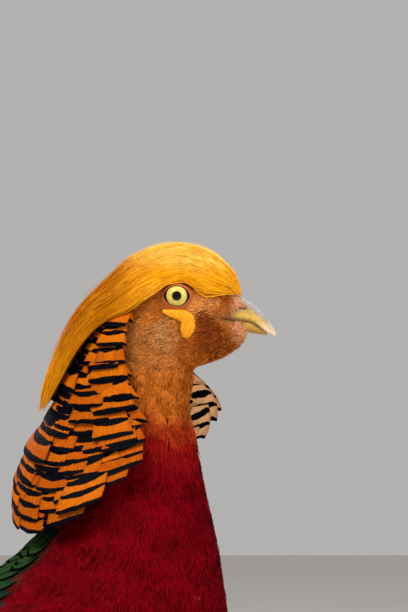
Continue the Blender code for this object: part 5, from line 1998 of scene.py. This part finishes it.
def make_feet():
    """Shanks and toes with scutes, claws and spurs."""
    paint, horn = leg_paint(), claw_paint()
    for side, word in WORDS.items():
        knee, hock, root = np.array((KNEE, HOCK, TOE_ROOT)) * (1, side, 1)
        along, down, shank = unit(hock - knee), unit(root - hock), root - hock
        start = hock + along * 0.3
        knots = [start, start + along * 2 + down * 3, hock + down * 12, hock + shank * 0.55]
        knots += [hock + shank * 0.85, root, root + down * 4.5]
        surface = limb_surface(knots, SHANK_RADII)
        make_scaly(f"shank_{word}", surface, np.linspace(0, 6, 290), 32, (0.17, 0.42, 0.0), paint)
        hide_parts(f"leg_{word}")
        make_spur_base(side, hock, root, paint)
        for toe, heading, joints in TOES:
            make_toe(side, toe, heading, joints, root, paint)
            repaint_horn(f"claw_{word}_{toe}", horn)
        repaint_horn(f"spur_{word}", horn)


def make_scaly(name, surface, t_values, count, plates, paint):
    """A limb with scutes, flat where it stands on the floor."""
    made = tube_object(name, surface, t_values, count, *scutes(*plates))
    for vertex in made.data.vertices:
        vertex.co.z = max(vertex.co.z, 0.0)
    return dress(made, paint, "leg")


def make_spur_base(side, hock, root, paint):
    """The scaly base from which the spur grows."""
    up = unit(hock - root)
    way = np.array((-0.92, -side * 0.35, 0))
    way = unit(way - up * way.dot(up))
    at = root + (hock - root) * SPUR_SHARE
    knots = [at + way * reach for reach in (0, 2.6, 4.0, 4.9)]
    surface = limb_surface(knots, (3.6, 3.6, 3.2, 2.75))
    name = f"spur_base_{WORDS[side]}"
    make_scaly(name, surface, np.linspace(0, 3, 24), 24, (0.8, 0.1, 0.0), paint)


def make_toe(side, toe, heading, joints, root, paint):
    """A toe with a pad under each joint and scutes on top."""
    angle = math.radians(heading)
    way = np.array((math.cos(angle), side * math.sin(angle), 0))
    first, last = TOE_RADII
    knots, radii = [root - way * 1.5], [3.2 + 0.6 * math.cos(angle / 2)]
    gone = 0.0
    for joint in joints:
        for share, waist in ((0.5, 0.93), (1.0, 1.02)):
            s = gone + joint * share
            radius = first + (last - first) * s / sum(joints)
            centre = root + way * (s + 2)
            centre[2] = radius * 0.86 + math.exp(-s / 5) * 4
            knots.append(centre)
            radii.append(radius * waist)
        gone += joint
    knots[-1] = knots[-1] - way * 0.6
    knots += [knots[-1] + way * 1.4, knots[-1] + way * 2.0]
    surface = limb_surface(knots, [*radii, last * 0.9, last * 0.66])
    steps = np.linspace(0, len(knots) - 1, 34 * len(joints) + 20)
    name = f"toe_{WORDS[side]}_{toe}"
    make_scaly(name, surface, steps, 24, (0.32, 0.34, math.pi / 2), paint)


def repaint_horn(name, paint):
    """Gives a claw or spur of the frame the horn's look."""
    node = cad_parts[name]
    node.data.materials.clear()
    node.data.materials.append(paint)


# Floor, light and camera


def make_floor():
    """A pale matt floor under the feet."""
    bpy.ops.mesh.primitive_plane_add(size=8, location=(0, 0, -0.0005))
    floor = bpy.context.object
    floor.name = "floor"
    paint = Paint("floor_paint", 0.85, 0.1)
    grain = paint.noise(paint.place(), 6.0, 3.0)
    paint.colour(paint.mix(grain, (0.62, 0.60, 0.57), (0.68, 0.66, 0.63)))
    floor.data.materials.append(paint.made)


# Lamps: name, place, size, power and colour.
LAMPS = (
    ("key", (-700, -1200, 2000), 1000, 52.0, (1.0, 0.96, 0.9)),
    ("fill", (1700, -1200, 800), 1200, 24.0, (1.0, 0.97, 0.94)),
    ("rim", (-1100, 1400, 1500), 1000, 22.0, (1.0, 0.97, 0.92)),
)
LAMPS_AIM = np.array((-20.0, 0.0, 300.0))


def make_light():
    """A soft even sky and three broad lamps."""
    world = bpy.data.worlds.new("studio")
    world.use_nodes = True
    sky = world.node_tree.nodes["Background"]
    sky.inputs[0].default_value = (0.86, 0.85, 0.84, 1)
    sky.inputs[1].default_value = 0.52
    bpy.context.scene.world = world
    for name, place, size, power, colour in LAMPS:
        light = bpy.data.lights.new(name, "AREA")
        light.size = size * MM
        light.energy = power
        light.color = colour
        lamp = bpy.data.objects.new(name, light)
        lamp.location = np.array(place) * MM + ORIGIN
        lamp.rotation_euler = Vector(LAMPS_AIM - place).to_track_quat("-Z", "Y").to_euler()
        bpy.context.scene.collection.objects.link(lamp)


def make_camera():
    """A level camera on the bird's right, framed as the photograph is."""
    lens = bpy.data.cameras.new("camera")
    lens.sensor_fit = "VERTICAL"
    lens.lens = lens.sensor_height / FRAME_TALL * -CAMERA_AT[1]
    camera = bpy.data.objects.new("camera", lens)
    camera.location = np.array(CAMERA_AT) * MM + ORIGIN
    camera.rotation_euler = (math.pi / 2, 0, 0)
    bpy.context.scene.collection.objects.link(camera)
    bpy.context.scene.camera = camera
    bpy.context.scene.view_settings.view_transform = "Standard"


make_body_coat()
make_face_coat()
make_bristles()
make_rump()
make_crest()
# A seed of its own keeps the pattern of the cape when another piece draws more or less.
RNG = np.random.default_rng(CAPE_SEED)
make_cape()
make_mantle()
make_wings()
make_tail()
make_eyes()
make_lids()
make_wattles()
make_bill()
make_feet()
make_floor()
make_light()
make_camera()
